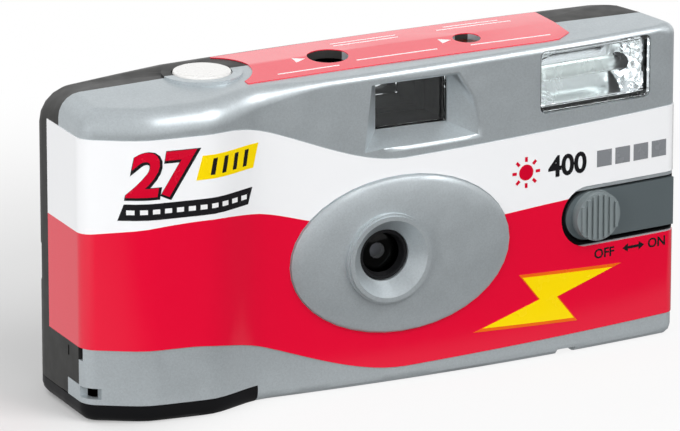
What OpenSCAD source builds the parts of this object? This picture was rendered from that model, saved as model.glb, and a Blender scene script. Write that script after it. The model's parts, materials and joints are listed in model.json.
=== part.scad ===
// A single-use 35 mm film camera with a built-in flash, as the pieces that it comes apart into.
// X runs to the right seen from the front, the front faces -Y and Z is up.
// The origin lies under the middle of the camera, on the surface that it stands on.

/* [Covers] */
// Width of the body
body_w = 119; // [116:0.5:124]
// Height of the top at its highest
body_h = 60; // [59:0.5:66]
// How far the top falls towards the shutter button's end
top_drop = 2.3; // [2:0.1:3]
// How far the top falls towards the front, for each millimetre
front_lean = 0.08; // [0.06:0.01:0.09]
// How far the back of the top falls towards the thumbwheel
rear_fall = 1.6; // [1:0.1:2]
// From the seam forward to the front face
front_depth = 13.2; // [12.8:0.1:17]
// From the seam back to the rear face
rear_depth = 14.2; // [14:0.1:18]
// Wall of the covers
wall = 1.5; // [1.2:0.1:1.6]
// How far the finger grip swells out of the front
grip_depth = 4.8; // [3.8:0.1:6]
// Radius of the bowed front, seen from above
bow_r = 436; // [380:4:600]
// Upright corner between the front and the grip end
corner_grip = 4; // [3:0.5:6]
// Upright corner between the front and the flash end
corner_flash = 2.2; // [2.2:0.1:3.4]
// How far the flash end leans in towards the seam, in degrees
end_lean = 21; // [12:1:22]
// Upright corner behind the film cartridge
corner_rear_left = 6.5; // [6:0.5:8]
// Upright corner behind the film roll
corner_rear_right = 7.5; // [7:0.5:10]
// Rounding of the top edge over the grip
shoulder_r = 4; // [3:0.5:4.5]
// Rounding of the top edge over the lens and the flash
edge_r = 1.2; // [1:0.1:2]
// Rounding of the top edge at the flash end
end_r = 2; // [1.6:0.1:2.1]
// Rounding of the top edge along the back
rear_top_r = 6.8; // [5:0.2:7]
// Rounding along the bottom
bottom_r = 2; // [1:0.1:2.1]
// Thickness of the labels
label_t = 0.15; // [0.1:0.05:0.3]

/* [Film] */
// Diameter of the film cartridge
can_d = 25; // [24.6:0.1:25.4]
// Room over the film cartridge, up to the highest point of the top
can_head = 14; // [13.8:0.1:15]
// Room under the film cartridge
can_foot = 3; // [2.8:0.1:3.4]
// How much taller the cartridge is than the film, at each end
film_margin = 4; // [3.6:0.1:4.4]
// Thickness of the film
film_t = 0.15; // [0.1:0.05:0.2]
// Width of one picture
frame_w = 36; // [34:0.5:38]
// Height of one picture
frame_h = 24; // [22:0.5:26]
// Diameter of the wound film
roll_d = 16.5; // [15:0.1:17]
// Diameter of the supply spool's core
core_d = 9; // [7:0.5:10]

/* [Lens and shutter] */
// Lens axis, from the middle of the body
lens_x = -2; // [-3:0.5:0]
// Width of the oval round the lens
oval_w = 43.8; // [40:0.2:46]
// Height of the oval round the lens
oval_h = 29; // [27:0.2:31]
// Rise of the oval over the front
oval_rise = 1.9; // [1.2:0.1:2.2]
// Outer diameter of the lens ring
ring_d = 16.8; // [16:0.2:18]
// How far the lens ring stands over the front
ring_rise = 2.9; // [2.4:0.1:3.2]
// Diameter of the lens
lens_d = 10.4; // [9.6:0.1:11]
// Diameter of the aperture
aperture_d = 2.8; // [2:0.1:3.4]

/* [Controls] */
// Shutter button from the grip end
button_in = 27.7; // [27.2:0.1:28.2]
// Diameter of the shutter button
button_d = 10.6; // [10:0.1:11]
// Travel of the shutter button
button_travel = 1.2; // [0.8:0.1:1.3]
// Diameter of the thumbwheel
wheel_d = 28; // [27.4:0.1:28.2]
// Thickness of the thumbwheel's rim
wheel_t = 3; // [2.4:0.1:3.1]
// Ridges round the thumbwheel
wheel_ridges = 60; // [40:4:72]
// Diameter of the frame counter dial
dial_d = 18.4; // [17.8:0.1:18.6]
// Diameter of the frame counter's hole
counter_d = 7.5; // [6.5:0.1:8]
// Travel of the flash switch
slider_travel = 5.5; // [4:0.5:5.5]
// Height of the flash switch's plate
slider_h = 9.6; // [8:0.2:10.4]
// Diameter of the flash switch's knob
knob_d = 9.6; // [8:0.2:9.6]

/* [Viewfinder and flash] */
// Room between the frame counter's dial and the viewfinder's tunnel
finder_gap = 0.75; // [0.6:0.05:1]
// Width of the viewfinder's front window
finder_w = 14.3; // [13:0.1:15]
// Height of the viewfinder's front window
finder_h = 9.3; // [8.4:0.1:9.6]
// Cover between the flash window and the flash end
flash_side = 5.8; // [5.4:0.1:7]
// Width of the flash window
flash_w = 23.9; // [21:0.1:24.4]
// Height of the flash window
flash_h = 11.8; // [10:0.1:12]
// Diameter of the flash tube
tube_d = 3; // [2.4:0.1:3.4]

/* [Electrics] */
// Diameter of the battery
battery_d = 10.5; // [10:0.1:10.6]
// Length of the battery without its button
battery_l = 43.6; // [42:0.2:44]
// Diameter of the flash capacitor
capacitor_d = 9; // [7:0.1:9.2]
// Width of the circuit board
board_w = 23; // [20:0.5:23]

/* [Fits] */
// Gap round loose pieces
gap = 0.3; // [0.2:0.05:0.35]
// Gap between faces that are put together
fit = 0.2; // [0.1:0.05:0.25]
// Running clearance of shafts and pins, on the radius
running = 0.05; // [0.03:0.01:0.08]
// Wall of the inner chassis
rib = 1; // [0.8:0.1:1.1]

/* [Hidden] */
$fn = 48;

// Main planes
half_w = body_w / 2;
y_seam = 1.2;
y_front = y_seam - front_depth;
y_rear = y_seam + rear_depth;
in_rear = y_rear - wall;
bow_x = -8;
top_peak_x = half_w - 9.5;
ramp_x = [-half_w + 25.5, -half_w + 47.5];
fall_x = [-half_w + 3.5, -half_w + 25.5];
grip_run = 14;
grip_x = [-half_w - 2.5, -half_w + 35];
flash_join = join_x(1, corner_flash, half_w - corner_flash, 8);
flash_turn = atan(front_slope(flash_join));
flash_corner = [half_w - corner_flash, front_y(flash_join) + corner_flash * cos(flash_turn)];
x_end = flash_corner[0] + corner_flash * cos(end_lean)
    - tan(end_lean) * (y_seam - flash_corner[1] - corner_flash * sin(end_lean));
button_x = -half_w + button_in;
flash_x = half_w - flash_side - flash_w / 2;
overcut = 1;
far = 20;

// Film path
can_h = body_h - can_head - can_foot;
film_h = can_h - 2 * film_margin;
lens_z = can_foot + can_h / 2;
chamber_r = can_d / 2 + gap;
x_cart = -half_w + wall + fit + rib + chamber_r;
y_cart = in_rear - gap - chamber_r;
can_z = [lens_z - can_h / 2, lens_z + can_h / 2];
film_z = [lens_z - film_h / 2, lens_z + film_h / 2];
y_film = in_rear - 1.3;
y_gate = y_film - fit;
lip_x = [x_cart + 9, x_cart + 14.5];
roll_r = roll_d / 2;
roll_bay_r = roll_r + 0.7;
x_roll = x_end - wall - fit - rib - roll_bay_r;
y_roll = y_film - film_t - roll_r;
roll_bay_z = [film_z[0] - 2, film_z[1] + 2];
gate_x = [lip_x[1] + 0.5, x_roll - roll_bay_r];
gate_t = 2;

// Deck that carries the transport above the film
deck_t = 1.2;
deck_z = can_z[1] + 0.9;
deck_top = deck_z + deck_t;
deck_y = [y_front + 6.8, y_gate - gate_t];

// Lens and shutter stack, from the front backwards
y_plate = y_front + 5.8;
plate_t = 1.2;
shutter_room = 0.8;
holder_t = 1.2;
lens_t = 1.7;
y_holder = y_plate - shutter_room - holder_t;
holder_x = [lens_x - 11, lens_x + 10];
holder_z = [lens_z - 9.5, lens_z + 11.5];
blade_t = 0.3;
blade_pivot = [lens_x - 8.5, lens_z + 8];
blade_tip_r = 3.2;
blade_pin_r = 0.9;
port_r = 2.6;
retainer_r = 4.6;
ring_mouth_r = 7.2;

// Film door, with a rim that shows round the outside
door_x = x_cart + 17;
door_t = 2.35;
door_rim = 3.3;

// Rear cover's flap at the cartridge end: front and lower edge of its two steps, and its top
flap_low = [y_seam - 2.9, door_rim + fit];
flap_high = [y_seam - 8, 6.6];
flap_top = 16;
flap_notch = [1.4, 11.2, 13.8];
flap_slit_y = [flap_low[0] - 0.9, flap_low[0] - 0.3];
flap_slit_z = [10.7, 12.6];
corner_slot = [2.7, flap_high[0] - 0.4];
corner_slot_z = [4.4, 6.4];
foot_notch_x = [half_w - 25.5, half_w - 21.5];
foot_notch_z = 1.2;
snap_a = 24;
snap_w = 2.4;
snap_d = 1;
snap_z = [21, 28];

// Transport
wheel_r = wheel_d / 2;
wheel_z = deck_top + fit;
hub_r = 6.5;
spool_r = 5.4;
sprocket = [x_cart + 22, y_gate - 7];
sprocket_r = 5.9;
tooth_l = 0.9;
sprocket_z = film_z[1] - 3.4;
sprocket_t = 3.8;
shaft_r = 1.5;
shelf_z = sprocket_z - 2.6;
cam_r = 3.8;
cam_t = 2;
counter = [sprocket[0] + 14.2, y_seam - 1.4];
dial = counter + [-5, 1.5];
dial_t = 0.8;
pinion_r = 2.5;
dial_gear_r = norm(dial - sprocket) - pinion_r - gap;
dial_gear_t = 1.4;
dial_z = top_z(dial[0]) - wall - 2.3;
pawl_t = 0.6;
pawl_a = -30;
pawl_l = 3;
pawl_w = 2.8;
pawl_z = wheel_z + wheel_t / 2 - 1;

// Release
button = [button_x, y_seam];
button_head_t = 2;
button_proud = 0.5;
collar_proud = 0.1;
collar_t = 1.8;
collar_r = button_d / 2 + fit + collar_t;
button_z = top_z(button_x) + button_proud;
ledge_t = 1;
spring_room = button_travel + 0.4;
ledge_z = button_z - button_head_t - spring_room - ledge_t;
stem_r = 1.6;
stem_end = ledge_z - 0.9;
lever_t = 1.2;
lever_z = stem_end - gap - lever_t;
lever_pivot = [button_x + 5, y_front + 7.5];
pin_r = 1.2;
striker_pivot = [lens_x - 8, y_front + 9];
striker_z = deck_top + 1.5;
striker_t = 1.2;
finger = [1.4, -4];

// Viewfinder
finder_x = max(lens_x + 7.5, dial[0] + dial_d / 2 + finder_gap + finder_w / 2 + fit + rib);
finder_z = body_h - 8.8;
finder_recess = 5.5;
finder_lens_t = 1.5;
eyepiece_w = 11;
eyepiece_h = 7.4;
y_finder = y_front + finder_recess;
y_finder_mid = y_finder + 11;
y_finder_end = in_rear - 1.6;
hood_x = [finder_x - 13, min(finder_x + 14, flash_x - flash_w / 2 - flash_side / 2)];
hood_z = [finder_z - 8.7, finder_z + 6.3];
window_x = [finder_x - finder_w / 2, finder_x + finder_w / 2];
window_z = [finder_z - finder_h / 2, finder_z + finder_h / 2];
tunnel_x = [window_x[0] - fit - rib, window_x[1] + fit + rib];
tunnel_z = [window_z[0] - fit - rib, window_z[1] + fit + rib];

// Flash
flash_z = body_h - 7.6;
flash_a = atan(front_slope(flash_x));
window_r = 1.2;
flange_t = 0.8;
flange_w = 1.3;
reflector_d = 6.6;
reflector_t = 0.5;
reflector_flare = 2.4;
reflector_y = wall + fit + flange_t + fit;
reflector_h = flash_h - 2.4;
tube_at = reflector_y + reflector_d - 2.8;
tube_half = flash_w / 2 + 1;
electrode_l = 1.3;
lamp = [tunnel_x[1] + 5.65, y_seam - 2.2];
lamp_r = 1.5;
lamp_z = tunnel_z[0] + 1.2;
pipe_top = top_at(lamp[0], lamp[1]) - 0.8;
lamp_top = pipe_top - wall - 1.4;
pipe_r = 2.35;
pipe_flange = 0.9;

// Flash switch
slider_x = half_w - 13.5;
slider_z = lens_z + 1.4;
slider_a = atan(front_slope(slider_x));
slider_t = 1.1;
slider_left = -10.6;
knob_at = -4.4;
knob_rise = 1.6;
recess_d = slider_t + 0.1;
post_w = 2.5;
post_h = 2.6;
post_at = slider_left + 1;
hook_over = [0.6, 0.9];
ridge_pitch = 1.2;
ridge_w = 0.6;
ridge_rise = 0.4;
pad_t = 0.9;
hook_t = 0.5;
hook_y = recess_d + pad_t + 0.1;
slider_right = (half_w - 0.5 - slider_x) / cos(slider_a);

// Board and battery
board_t = 1;
battery_r = battery_d / 2;
battery_x = x_cart + 21;
battery_nub = [0.9, 1.9];
battery_y = bow_y(battery_x + battery_l + battery_nub[0]) + wall + gap + battery_r;
battery_z = wall + 0.7 + battery_r;
board_x = [lens_x + 11.5, lens_x + 11.5 + board_w];
board_y = y_front + 3.8;
board_z = battery_z + battery_r + 1.8;
board_h = hood_z[0] - 1 - board_z;
board_ledge = 2.4;
parts_x = board_x[0] + board_ledge + gap;
contact_t = 0.5;
bay_y = battery_y + battery_r + gap;
capacitor = [board_x[1] - 6, board_y + board_t + fit + capacitor_d / 2];
capacitor_z = board_z + fit;
capacitor_l = board_h - 1;

// Number of steps in the lofted covers
arc_steps = 5;
front_steps = 56;
rear_steps = 12;
bottom_steps = 3;
top_steps = 5;

// Smooth step from 0 to 1
function ease(t) = let (u = max(0, min(1, t))) u * u * (3 - 2 * u);

// Height of the top along the body
function top_z(x) = body_h - top_drop * pow(max(0, top_peak_x - x) / (top_peak_x + half_w), 2);

// Height of the top at any place: it leans forward of the seam and falls away behind the button
function top_at(x, y) = top_z(x) - front_lean * max(0, y_seam - y)
    - rear_fall * ease((fall_x[1] - x) / (fall_x[1] - fall_x[0])) * max(0, y - y_seam) / rear_depth;

// Plan curve of the front: a shallow bow with the grip swelling out of it
function bow_y(x) = y_front + pow(x - bow_x, 2) / (2 * bow_r);
function grip(x) = grip_depth * ease((x - grip_x[0]) / grip_run) * ease((grip_x[1] - x) / grip_run);
function front_y(x) = bow_y(x) - grip(x);
function front_slope(x) = (front_y(x + 0.05) - front_y(x - 0.05)) / 0.1;

// Where a corner of radius r runs into the front curve, found by a few repeats; side is -1 or 1
function join_x(side, r, x, n) =
    n == 0 ? x : join_x(side, r, side * (half_w - r * (1 - sin(atan(side * front_slope(x))))), n - 1);

// Plan paths of both covers as [x, y, outward normal], from seam to seam
function corner(cx, cy, r, a0, a1) =
    [for (k = [0:arc_steps]) let (a = a0 + (a1 - a0) * k / arc_steps)
        [cx + r * cos(a), cy + r * sin(a), cos(a), sin(a)]];
function on_front(x) = let (s = front_slope(x), m = sqrt(1 + s * s)) [x, front_y(x), s / m, -1 / m];
grip_join = join_x(-1, corner_grip, -half_w + corner_grip / 2, 8);
grip_turn = atan(-front_slope(grip_join));
front_path = concat(
    [[-half_w, y_seam, -1, 0]],
    corner(-half_w + corner_grip, front_y(grip_join) + corner_grip * cos(grip_turn), corner_grip,
        180, 270 - grip_turn),
    [for (k = [1:front_steps - 1]) on_front(grip_join + (flash_join - grip_join) * k / front_steps)],
    corner(flash_corner[0], flash_corner[1], corner_flash, 270 + flash_turn, 360 + end_lean),
    [[x_end, y_seam, 1 / cos(end_lean), 0]]
);
rear_span = [x_end - corner_rear_right, -half_w + corner_rear_left];
rear_path = concat(
    [[x_end, y_seam, 1 / cos(end_lean), 0]],
    corner(rear_span[0], y_rear - corner_rear_right, corner_rear_right, 0, 90),
    [for (k = [1:rear_steps - 1])
        [rear_span[0] + (rear_span[1] - rear_span[0]) * k / rear_steps, y_rear, 0, 1]],
    corner(rear_span[1], y_rear - corner_rear_left, corner_rear_left, 90, 180),
    [[-half_w, y_seam, -1, 0]]
);

// Rounding of the top edge at a point of the plan
function top_r(x, y) =
    let (left = shoulder_r + (edge_r - shoulder_r) * ease((x - ramp_x[0]) / (ramp_x[1] - ramp_x[0])),
        side = left + (end_r - edge_r) * ease((x - half_w + 4) / 3))
    y <= y_seam ? side : side + (rear_top_r - side) * ease((y - y_seam) / rear_depth);

// Rows of a cover's surface, moved outwards by off: seam, bottom rounding, top rounding, seam
row_count = bottom_steps + top_steps + 4;
function row_point(p, off, inset, z) = [p[0] + p[2] * (off - inset), p[1] + p[3] * (off - inset), z];
function bottom_point(p, off, k) =
    let (r = max(bottom_r + off, 0.3), a = 90 * k / bottom_steps)
    row_point(p, off, r * (1 - sin(a)), -off + r * (1 - cos(a)));
function top_point(p, off, k) =
    let (r = max(top_r(p[0], p[1]) + off, 0.3), a = 90 * k / top_steps,
        q = row_point(p, off, r * (1 - cos(a)), 0))
    [q[0], q[1], top_at(q[0], q[1]) + off - r * (1 - sin(a))];
function seam_x(path, off, r, i) =
    let (n = len(path) - 1,
        a = (r == 0 ? bottom_point(path[0], off, 0) : top_point(path[0], off, top_steps)),
        b = (r == 0 ? bottom_point(path[n], off, 0) : top_point(path[n], off, top_steps)))
    a[0] + (b[0] - a[0]) * i / n;
function grid(path, off) = [
    for (r = [0:row_count - 1]) for (i = [0:len(path) - 1])
        r == 0 ? [seam_x(path, off, r, i), y_seam, -off]
        : r == row_count - 1 ? let (x = seam_x(path, off, r, i)) [x, y_seam, top_z(x) + off]
        : r <= bottom_steps + 1 ? bottom_point(path[i], off, r - 1)
        : top_point(path[i], off, r - bottom_steps - 2)];

// Index of a point of the surface; the seam rows share their ends with the next row
function at(n, r, i) =
    let (end = i == 0 || i == n, q = end && r == 0 ? 1 : end && r == row_count - 1 ? row_count - 2 : r)
    q * (n + 1) + i;
function two_triangles(a, b, c, d) =
    concat(a == b || b == c || a == c ? [] : [[a, b, c]], a == c || c == d || a == d ? [] : [[a, c, d]]);
function skin(n, start, out) = [
    for (r = [0:row_count - 2]) for (i = [0:n - 1])
        for (t = two_triangles(at(n, r, i), at(n, r + 1, i), at(n, r + 1, i + 1), at(n, r, i + 1)))
            [for (v = out ? t : [t[2], t[1], t[0]]) v + start]];
function rim(n) = concat(
    [for (i = [0:n]) at(n, 0, i)], [for (r = [2:row_count - 3]) at(n, r, n)],
    [for (i = [n:-1:0]) at(n, row_count - 1, i)], [for (r = [row_count - 3:-1:2]) at(n, r, 0)]);

// Hollow shell of a cover, open at the seam
module cover_shell(path) {
    n = len(path) - 1;
    inner = row_count * (n + 1);
    edge = rim(n);
    m = len(edge);
    polyhedron(
        concat(grid(path, 0), grid(path, -wall)),
        concat(skin(n, 0, true), skin(n, inner, false),
            [for (k = [0:m - 1]) let (j = (k + 1) % m)
                for (t = two_triangles(edge[k], edge[j], edge[j] + inner, edge[k] + inner)) t]));
}

// Solid of a cover's outer form, moved outwards by off
module cover_solid(path, off) {
    n = len(path) - 1;
    edge = rim(n);
    m = len(edge);
    hub = row_count * (n + 1);
    polyhedron(
        concat(grid(path, off), [[0, y_seam, body_h / 2]]),
        concat(skin(n, 0, true), [for (k = [0:m - 1]) [edge[k], edge[(k + 1) % m], hub]]));
}

// Plain helpers
module box(x, y, z) {
    translate([x[0], y[0], z[0]]) cube([x[1] - x[0], y[1] - y[0], z[1] - z[0]]);
}
module rod_x(y, z, r, x) {
    translate([x[0], y, z]) rotate([0, 90, 0]) cylinder(r = r, h = x[1] - x[0]);
}
module rod_y(x, z, r, y) {
    translate([x, y[0], z]) rotate([-90, 0, 0]) cylinder(r = r, h = y[1] - y[0]);
}
module rod_z(at, r, z) {
    translate([at[0], at[1], z[0]]) cylinder(r = r, h = z[1] - z[0]);
}
module along_y(y) {
    translate([0, y[1], 0]) rotate([90, 0, 0]) linear_extrude(y[1] - y[0]) children();
}
module on_front_at(x, z, a) {
    translate([x, bow_y(x), z]) rotate([0, 0, a]) children();
}
function rounded(w, h, r) = [
    for (c = [[1, 1, 0], [-1, 1, 90], [-1, -1, 180], [1, -1, 270]]) for (k = [0:4])
        [c[0] * (w / 2 - r) + r * cos(c[2] + 22.5 * k), c[1] * (h / 2 - r) + r * sin(c[2] + 22.5 * k)]];
function oval(w, h, n) = [for (k = [0:n - 1]) [w / 2 * cos(360 * k / n), h / 2 * sin(360 * k / n)]];

// Wound wire: a tube of six sides along a helix
module coil(r, wire, turns, height) {
    steps = 14 * turns;
    sides = 6;
    points = [
        for (s = [0:steps]) for (k = [0:sides - 1])
            let (a = 360 * turns * s / steps, q = r + wire / 2 * cos(60 * k))
            [q * cos(a), q * sin(a), wire / 2 + (height - wire) * s / steps + wire / 2 * sin(60 * k)]];
    faces = concat(
        [for (s = [0:steps - 1]) for (k = [0:sides - 1])
            let (a = s * sides + k, b = s * sides + (k + 1) % sides)
            for (t = [[a, b, b + sides], [a, b + sides, a + sides]]) t],
        [for (k = [1:sides - 2]) [0, k + 1, k]],
        [for (k = [1:sides - 2]) let (e = steps * sides) [e, e + k, e + k + 1]]);
    polyhedron(points, faces);
}

// Pyramid-shaped passage from a small rectangle in front to a large one behind
module passage(a, b, y) {
    signs = [[-1, -1], [1, -1], [1, 1], [-1, 1]];
    polyhedron(
        concat([for (s = signs) [lens_x + s[0] * a[0] / 2, y[0], lens_z + s[1] * a[1] / 2]],
            [for (s = signs) [lens_x + s[0] * b[0] / 2, y[1], lens_z + s[1] * b[1] / 2]]),
        [[0, 3, 2], [0, 2, 1], [4, 5, 6], [4, 6, 7], [0, 1, 5], [0, 5, 4], [1, 2, 6], [1, 6, 5],
            [2, 3, 7], [2, 7, 6], [3, 0, 4], [3, 4, 7]]);
}

// Domed oval that frames the lens, following the bow of the front
oval_x = lens_x + 3.4;
oval_sides = 40;
dome = [[1, -0.6], [1, 0.5], [0.985, 0.8], [0.93, 1.15], [0.8, 1.5], [0.62, 1.78], [0.42, oval_rise]];
module oval_dome() {
    n = oval_sides;
    last = len(dome) - 1;
    hub = n * (last + 1);
    rise = [for (d = dome) d[1] < 0 ? d[1] : d[1] * oval_rise / dome[last][1]];
    function place(u, h, v) = [oval_x + u, bow_y(oval_x + u) - h, lens_z + v];
    polyhedron(
        concat(
            [for (j = [0:last]) for (p = oval(oval_w * dome[j][0], oval_h * dome[j][0], n))
                place(p[0], rise[j], p[1])],
            [place(0, rise[0], 0), place(0, rise[last], 0)]),
        concat([for (j = [0:last - 1]) for (k = [0:n - 1]) let (a = j * n + k, b = j * n + (k + 1) % n)
                for (t = [[a, a + n, b + n], [a, b + n, b]]) t],
            [for (k = [0:n - 1]) [k, (k + 1) % n, hub]],
            [for (k = [0:n - 1]) [last * n + (k + 1) % n, last * n + k, hub + 1]]));
}

// Collar round the shutter button, shared by both covers at the seam
module collar() {
    rod_z(button, collar_r, [ledge_z, top_z(button_x) + collar_proud]);
}
module collar_bore() {
    rod_z(button, button_d / 2 + fit, [ledge_z + ledge_t, body_h + overcut]);
    rod_z(button, stem_r + fit, [ledge_z - overcut, body_h]);
}
module top_holes() {
    rod_z(counter, counter_d / 2, [body_h - 12, body_h + overcut]);
    rod_z(lamp, pipe_r + fit, [body_h - 12, body_h + overcut]);
}
module door_cut() {
    box([-half_w - overcut, door_x], [y_front - far, y_rear + overcut], [-overcut, door_rim + fit / 2]);
}
module front_half() {
    box([-half_w - far, half_w + far], [y_front - far, y_seam], [-far, body_h + far]);
}
module rear_half() {
    box([-half_w - far, half_w + far], [y_seam, y_rear + far], [-far, body_h + far]);
}

// Stepped flap of the rear cover at the cartridge end, and what the front cover leaves free for it
module rear_flap() {
    for (s = [flap_low, flap_high])
        box([-half_w, -half_w + wall], [s[0], y_seam + wall], [s[1], flap_top]);
}
module flap_cut() {
    x = [-half_w - overcut, -half_w + wall + overcut];
    for (s = [flap_low, flap_high])
        box(x, [s[0] - fit / 2, y_seam + overcut], [s[1] - fit / 2, flap_top + fit / 2]);
    box(x, [flap_high[0] - flap_notch[0], flap_high[0]], [flap_notch[1], flap_notch[2]]);
    box([-half_w - overcut, -half_w + corner_slot[0]], [y_front - far, corner_slot[1]], corner_slot_z);
}

// Funnel that opens from the viewfinder window to the front; its mouth is set out from the window
mouth_x = [window_x[0] - 4.6, window_x[1] + 6, window_x[1] + 4.3, window_x[1] + 0.1, window_x[0] - 3.2];
mouth_z = [finder_z - 7.4, finder_z - 7.4, finder_z - 1, finder_z + 5.2, finder_z + 5.2];
module finder_funnel() {
    hull() {
        box(window_x, [y_finder - 0.8, y_finder - 0.7], window_z);
        along_y([y_front - 0.5, y_front - 0.4]) polygon([for (k = [0:4]) [mouth_x[k], mouth_z[k]]]);
    }
}

// Recess, slot and side notch of the flash switch
module slider_recess() {
    on_front_at(slider_x, slider_z, slider_a) {
        h = slider_h + 2 * fit;
        slot_h = post_h + 2 * fit;
        box([slider_left - gap + h / 2, far], [-far, recess_d], [-h / 2, h / 2]);
        rod_y(slider_left - gap + h / 2, 0, h / 2, [-far, recess_d]);
        box([post_at - gap, post_at + post_w + slider_travel + gap], [0, recess_d + pad_t + overcut],
            [-slot_h / 2, slot_h / 2]);
    }
}
module slider_pad() {
    on_front_at(slider_x, slider_z, slider_a) {
        h = slider_h + 2;
        box([slider_left - 1.5, slider_right - wall - 1], [wall / 2, recess_d + pad_t], [-h / 2, h / 2]);
    }
}

module front_cover() {
    color("silver") difference() {
        union() {
            cover_shell(front_path);
            oval_dome();
            rod_y(lens_x, lens_z, ring_d / 2, [y_front - ring_rise + 0.4, y_front + wall / 2]);
            rod_y(lens_x, lens_z, ring_d / 2 - 0.4, [y_front - ring_rise, y_front]);
            box(hood_x, [y_front + wall - gap, y_finder - fit], hood_z);
            slider_pad();
            intersection() {
                collar();
                front_half();
            }
        }
        door_cut();
        collar_bore();
        top_holes();
        flap_cut();
        translate([lens_x, y_front - ring_rise - 0.01, lens_z]) rotate([-90, 0, 0])
            cylinder(r1 = ring_mouth_r, r2 = retainer_r + fit, h = ring_rise + 0.1);
        rod_y(lens_x, lens_z, retainer_r + fit, [y_front - ring_rise, y_front + wall + overcut]);
        finder_funnel();
        box(window_x, [y_front - overcut, y_finder + overcut], window_z);
        on_front_at(flash_x, flash_z, flash_a) along_y([-overcut, wall + overcut])
            polygon(rounded(flash_w, flash_h, window_r));
        slider_recess();
        box(foot_notch_x, [y_front - overcut, y_front + 8], [-overcut, foot_notch_z]);
    }
}

// Thumb recess round the wheel in the back
recess_x = [x_cart - 10.5, x_cart + 10.5];
recess_z = [wheel_z - 0.8, wheel_z + wheel_t + 2.2];
recess_y = y_rear - 3.4;
slot_x = [x_cart - 9.8, x_cart + 9.8];
slot_z = [wheel_z - 0.4, wheel_z + wheel_t + 0.4];
module recess_shell() {
    intersection() {
        cover_solid(rear_path, -wall / 2);
        box([recess_x[0] - rib, recess_x[1] + rib], [recess_y - rib, y_rear],
            [recess_z[0] - rib, recess_z[1] + rib]);
    }
}
module rear_cover() {
    color("dimgray") difference() {
        union() {
            cover_shell(rear_path);
            recess_shell();
            rear_flap();
            intersection() {
                collar();
                rear_half();
            }
            for (z = [film_z[0] + 2, film_z[1] - 4])
                box([gate_x[0] + 2, gate_x[1] - 4], [y_film + film_t + fit, in_rear + wall / 2], [z, z + 2]);
        }
        door_cut();
        collar_bore();
        top_holes();
        box(recess_x, [recess_y, y_rear + overcut], recess_z);
        box(slot_x, [recess_y - rib - overcut, y_rear], slot_z);
        translate([finder_x, 0, finder_z]) along_y([y_finder_end - overcut, y_rear + overcut])
            polygon(rounded(eyepiece_w - 1.4, eyepiece_h - 1, 1.5));
        box([-half_w - overcut, -half_w + wall + overcut], flap_slit_y, flap_slit_z);
        translate([rear_span[1], y_rear - corner_rear_left, 0]) rotate([0, 0, 180 - snap_a])
            box([corner_rear_left - snap_d, corner_rear_left + overcut], [-snap_w / 2, snap_w / 2], snap_z);
    }
}

// Door over the cartridge, with the rounded bottom edge of the covers
module film_door() {
    loop = concat([for (p = front_path) if (p != front_path[0]) p],
        [for (k = [1:len(rear_path) - 1]) rear_path[k]]);
    n = len(loop);
    levels = concat([for (k = [0:bottom_steps]) let (a = 90 * k / bottom_steps)
        [bottom_r * (1 - sin(a)), bottom_r * (1 - cos(a))]],
        [[0, door_rim], [wall, door_rim], [wall, door_t]]);
    last = len(levels) - 1;
    hub = n * (last + 1);
    color("dimgray") difference() {
        intersection() {
            polyhedron(
                concat([for (l = levels) for (p = loop) row_point(p, 0, l[0], l[1])],
                    [[x_cart, y_seam, 0], [x_cart, y_seam, door_t]]),
                concat([for (j = [0:last - 1]) for (k = [0:n - 1])
                        let (a = j * n + k, b = j * n + (k + 1) % n)
                        for (t = [[a, a + n, b + n], [a, b + n, b]]) t],
                    [for (k = [0:n - 1]) [k, (k + 1) % n, hub]],
                    [for (k = [0:n - 1]) [last * n + (k + 1) % n, last * n + k, hub + 1]]));
            box([-half_w - overcut, door_x - fit], [y_front - far, y_rear + overcut],
                [-overcut, door_rim + overcut]);
        }
        rod_z([x_cart, y_cart], chamber_r - 0.6, [wall, door_t + overcut]);
    }
}

// Labels
label_head = 7.8;
label_base = 13.6;
label_step = [10, 10.5];
label_start = [-half_w + 23.5, -half_w + 17.5];
label_run = [38, 44];
label_lift = [2, 1.4];
function label_swing(x, k) = label_step[k] * ease((x - label_start[k]) / label_run[k])
    - label_lift[k] * max(0, x + lens_x) / (half_w + lens_x);
function label_top(x) = body_h - label_head - label_swing(x, 0);
function label_foot(x) = label_base - label_swing(x, 1);
label_back = 5.1;
label_margin = 0.7;
module wrap_label() {
    n = len(front_path) - 1;
    path = [for (i = [0:n])
        i == 0 ? [-half_w, y_seam + label_back, -1, 0]
        : i == n ? [x_end + tan(end_lean), y_seam - 1, 1 / cos(end_lean), 0] : front_path[i]];
    points = [for (p = path) let (a = row_point(p, label_t, 0, 0), f = label_foot(p[0]), t = label_top(p[0]))
        each [[a[0], a[1], f], [a[0], a[1], t], [p[0], p[1], t], [p[0], p[1], f]]];
    color("crimson") difference() {
        polyhedron(points, concat(
            [for (i = [0:n - 1]) for (k = [0:3]) let (a = 4 * i + k, b = 4 * i + (k + 1) % 4)
                for (t = [[a, b, b + 4], [a, b + 4, a + 4]]) t],
            [[0, 3, 2], [0, 2, 1], [4 * n, 4 * n + 1, 4 * n + 2], [4 * n, 4 * n + 2, 4 * n + 3]]));
        translate([oval_x, 0, lens_z]) along_y([y_front - far, y_seam])
            polygon(oval(oval_w + 2 * fit, oval_h + 2 * fit, oval_sides));
        on_front_at(slider_x, slider_z, slider_a) {
            h = slider_h + 2 * fit + 2 * label_margin;
            left = slider_left - gap - label_margin + h / 2;
            box([left, far], [-far, far], [-h / 2, h / 2]);
            rod_y(left, 0, h / 2, [-far, far]);
        }
    }
}
top_label_x = [button_x + 5, half_w - 21.2];
top_label_y = [y_front + 4.2, y_rear - rear_top_r + 0.4];
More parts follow.
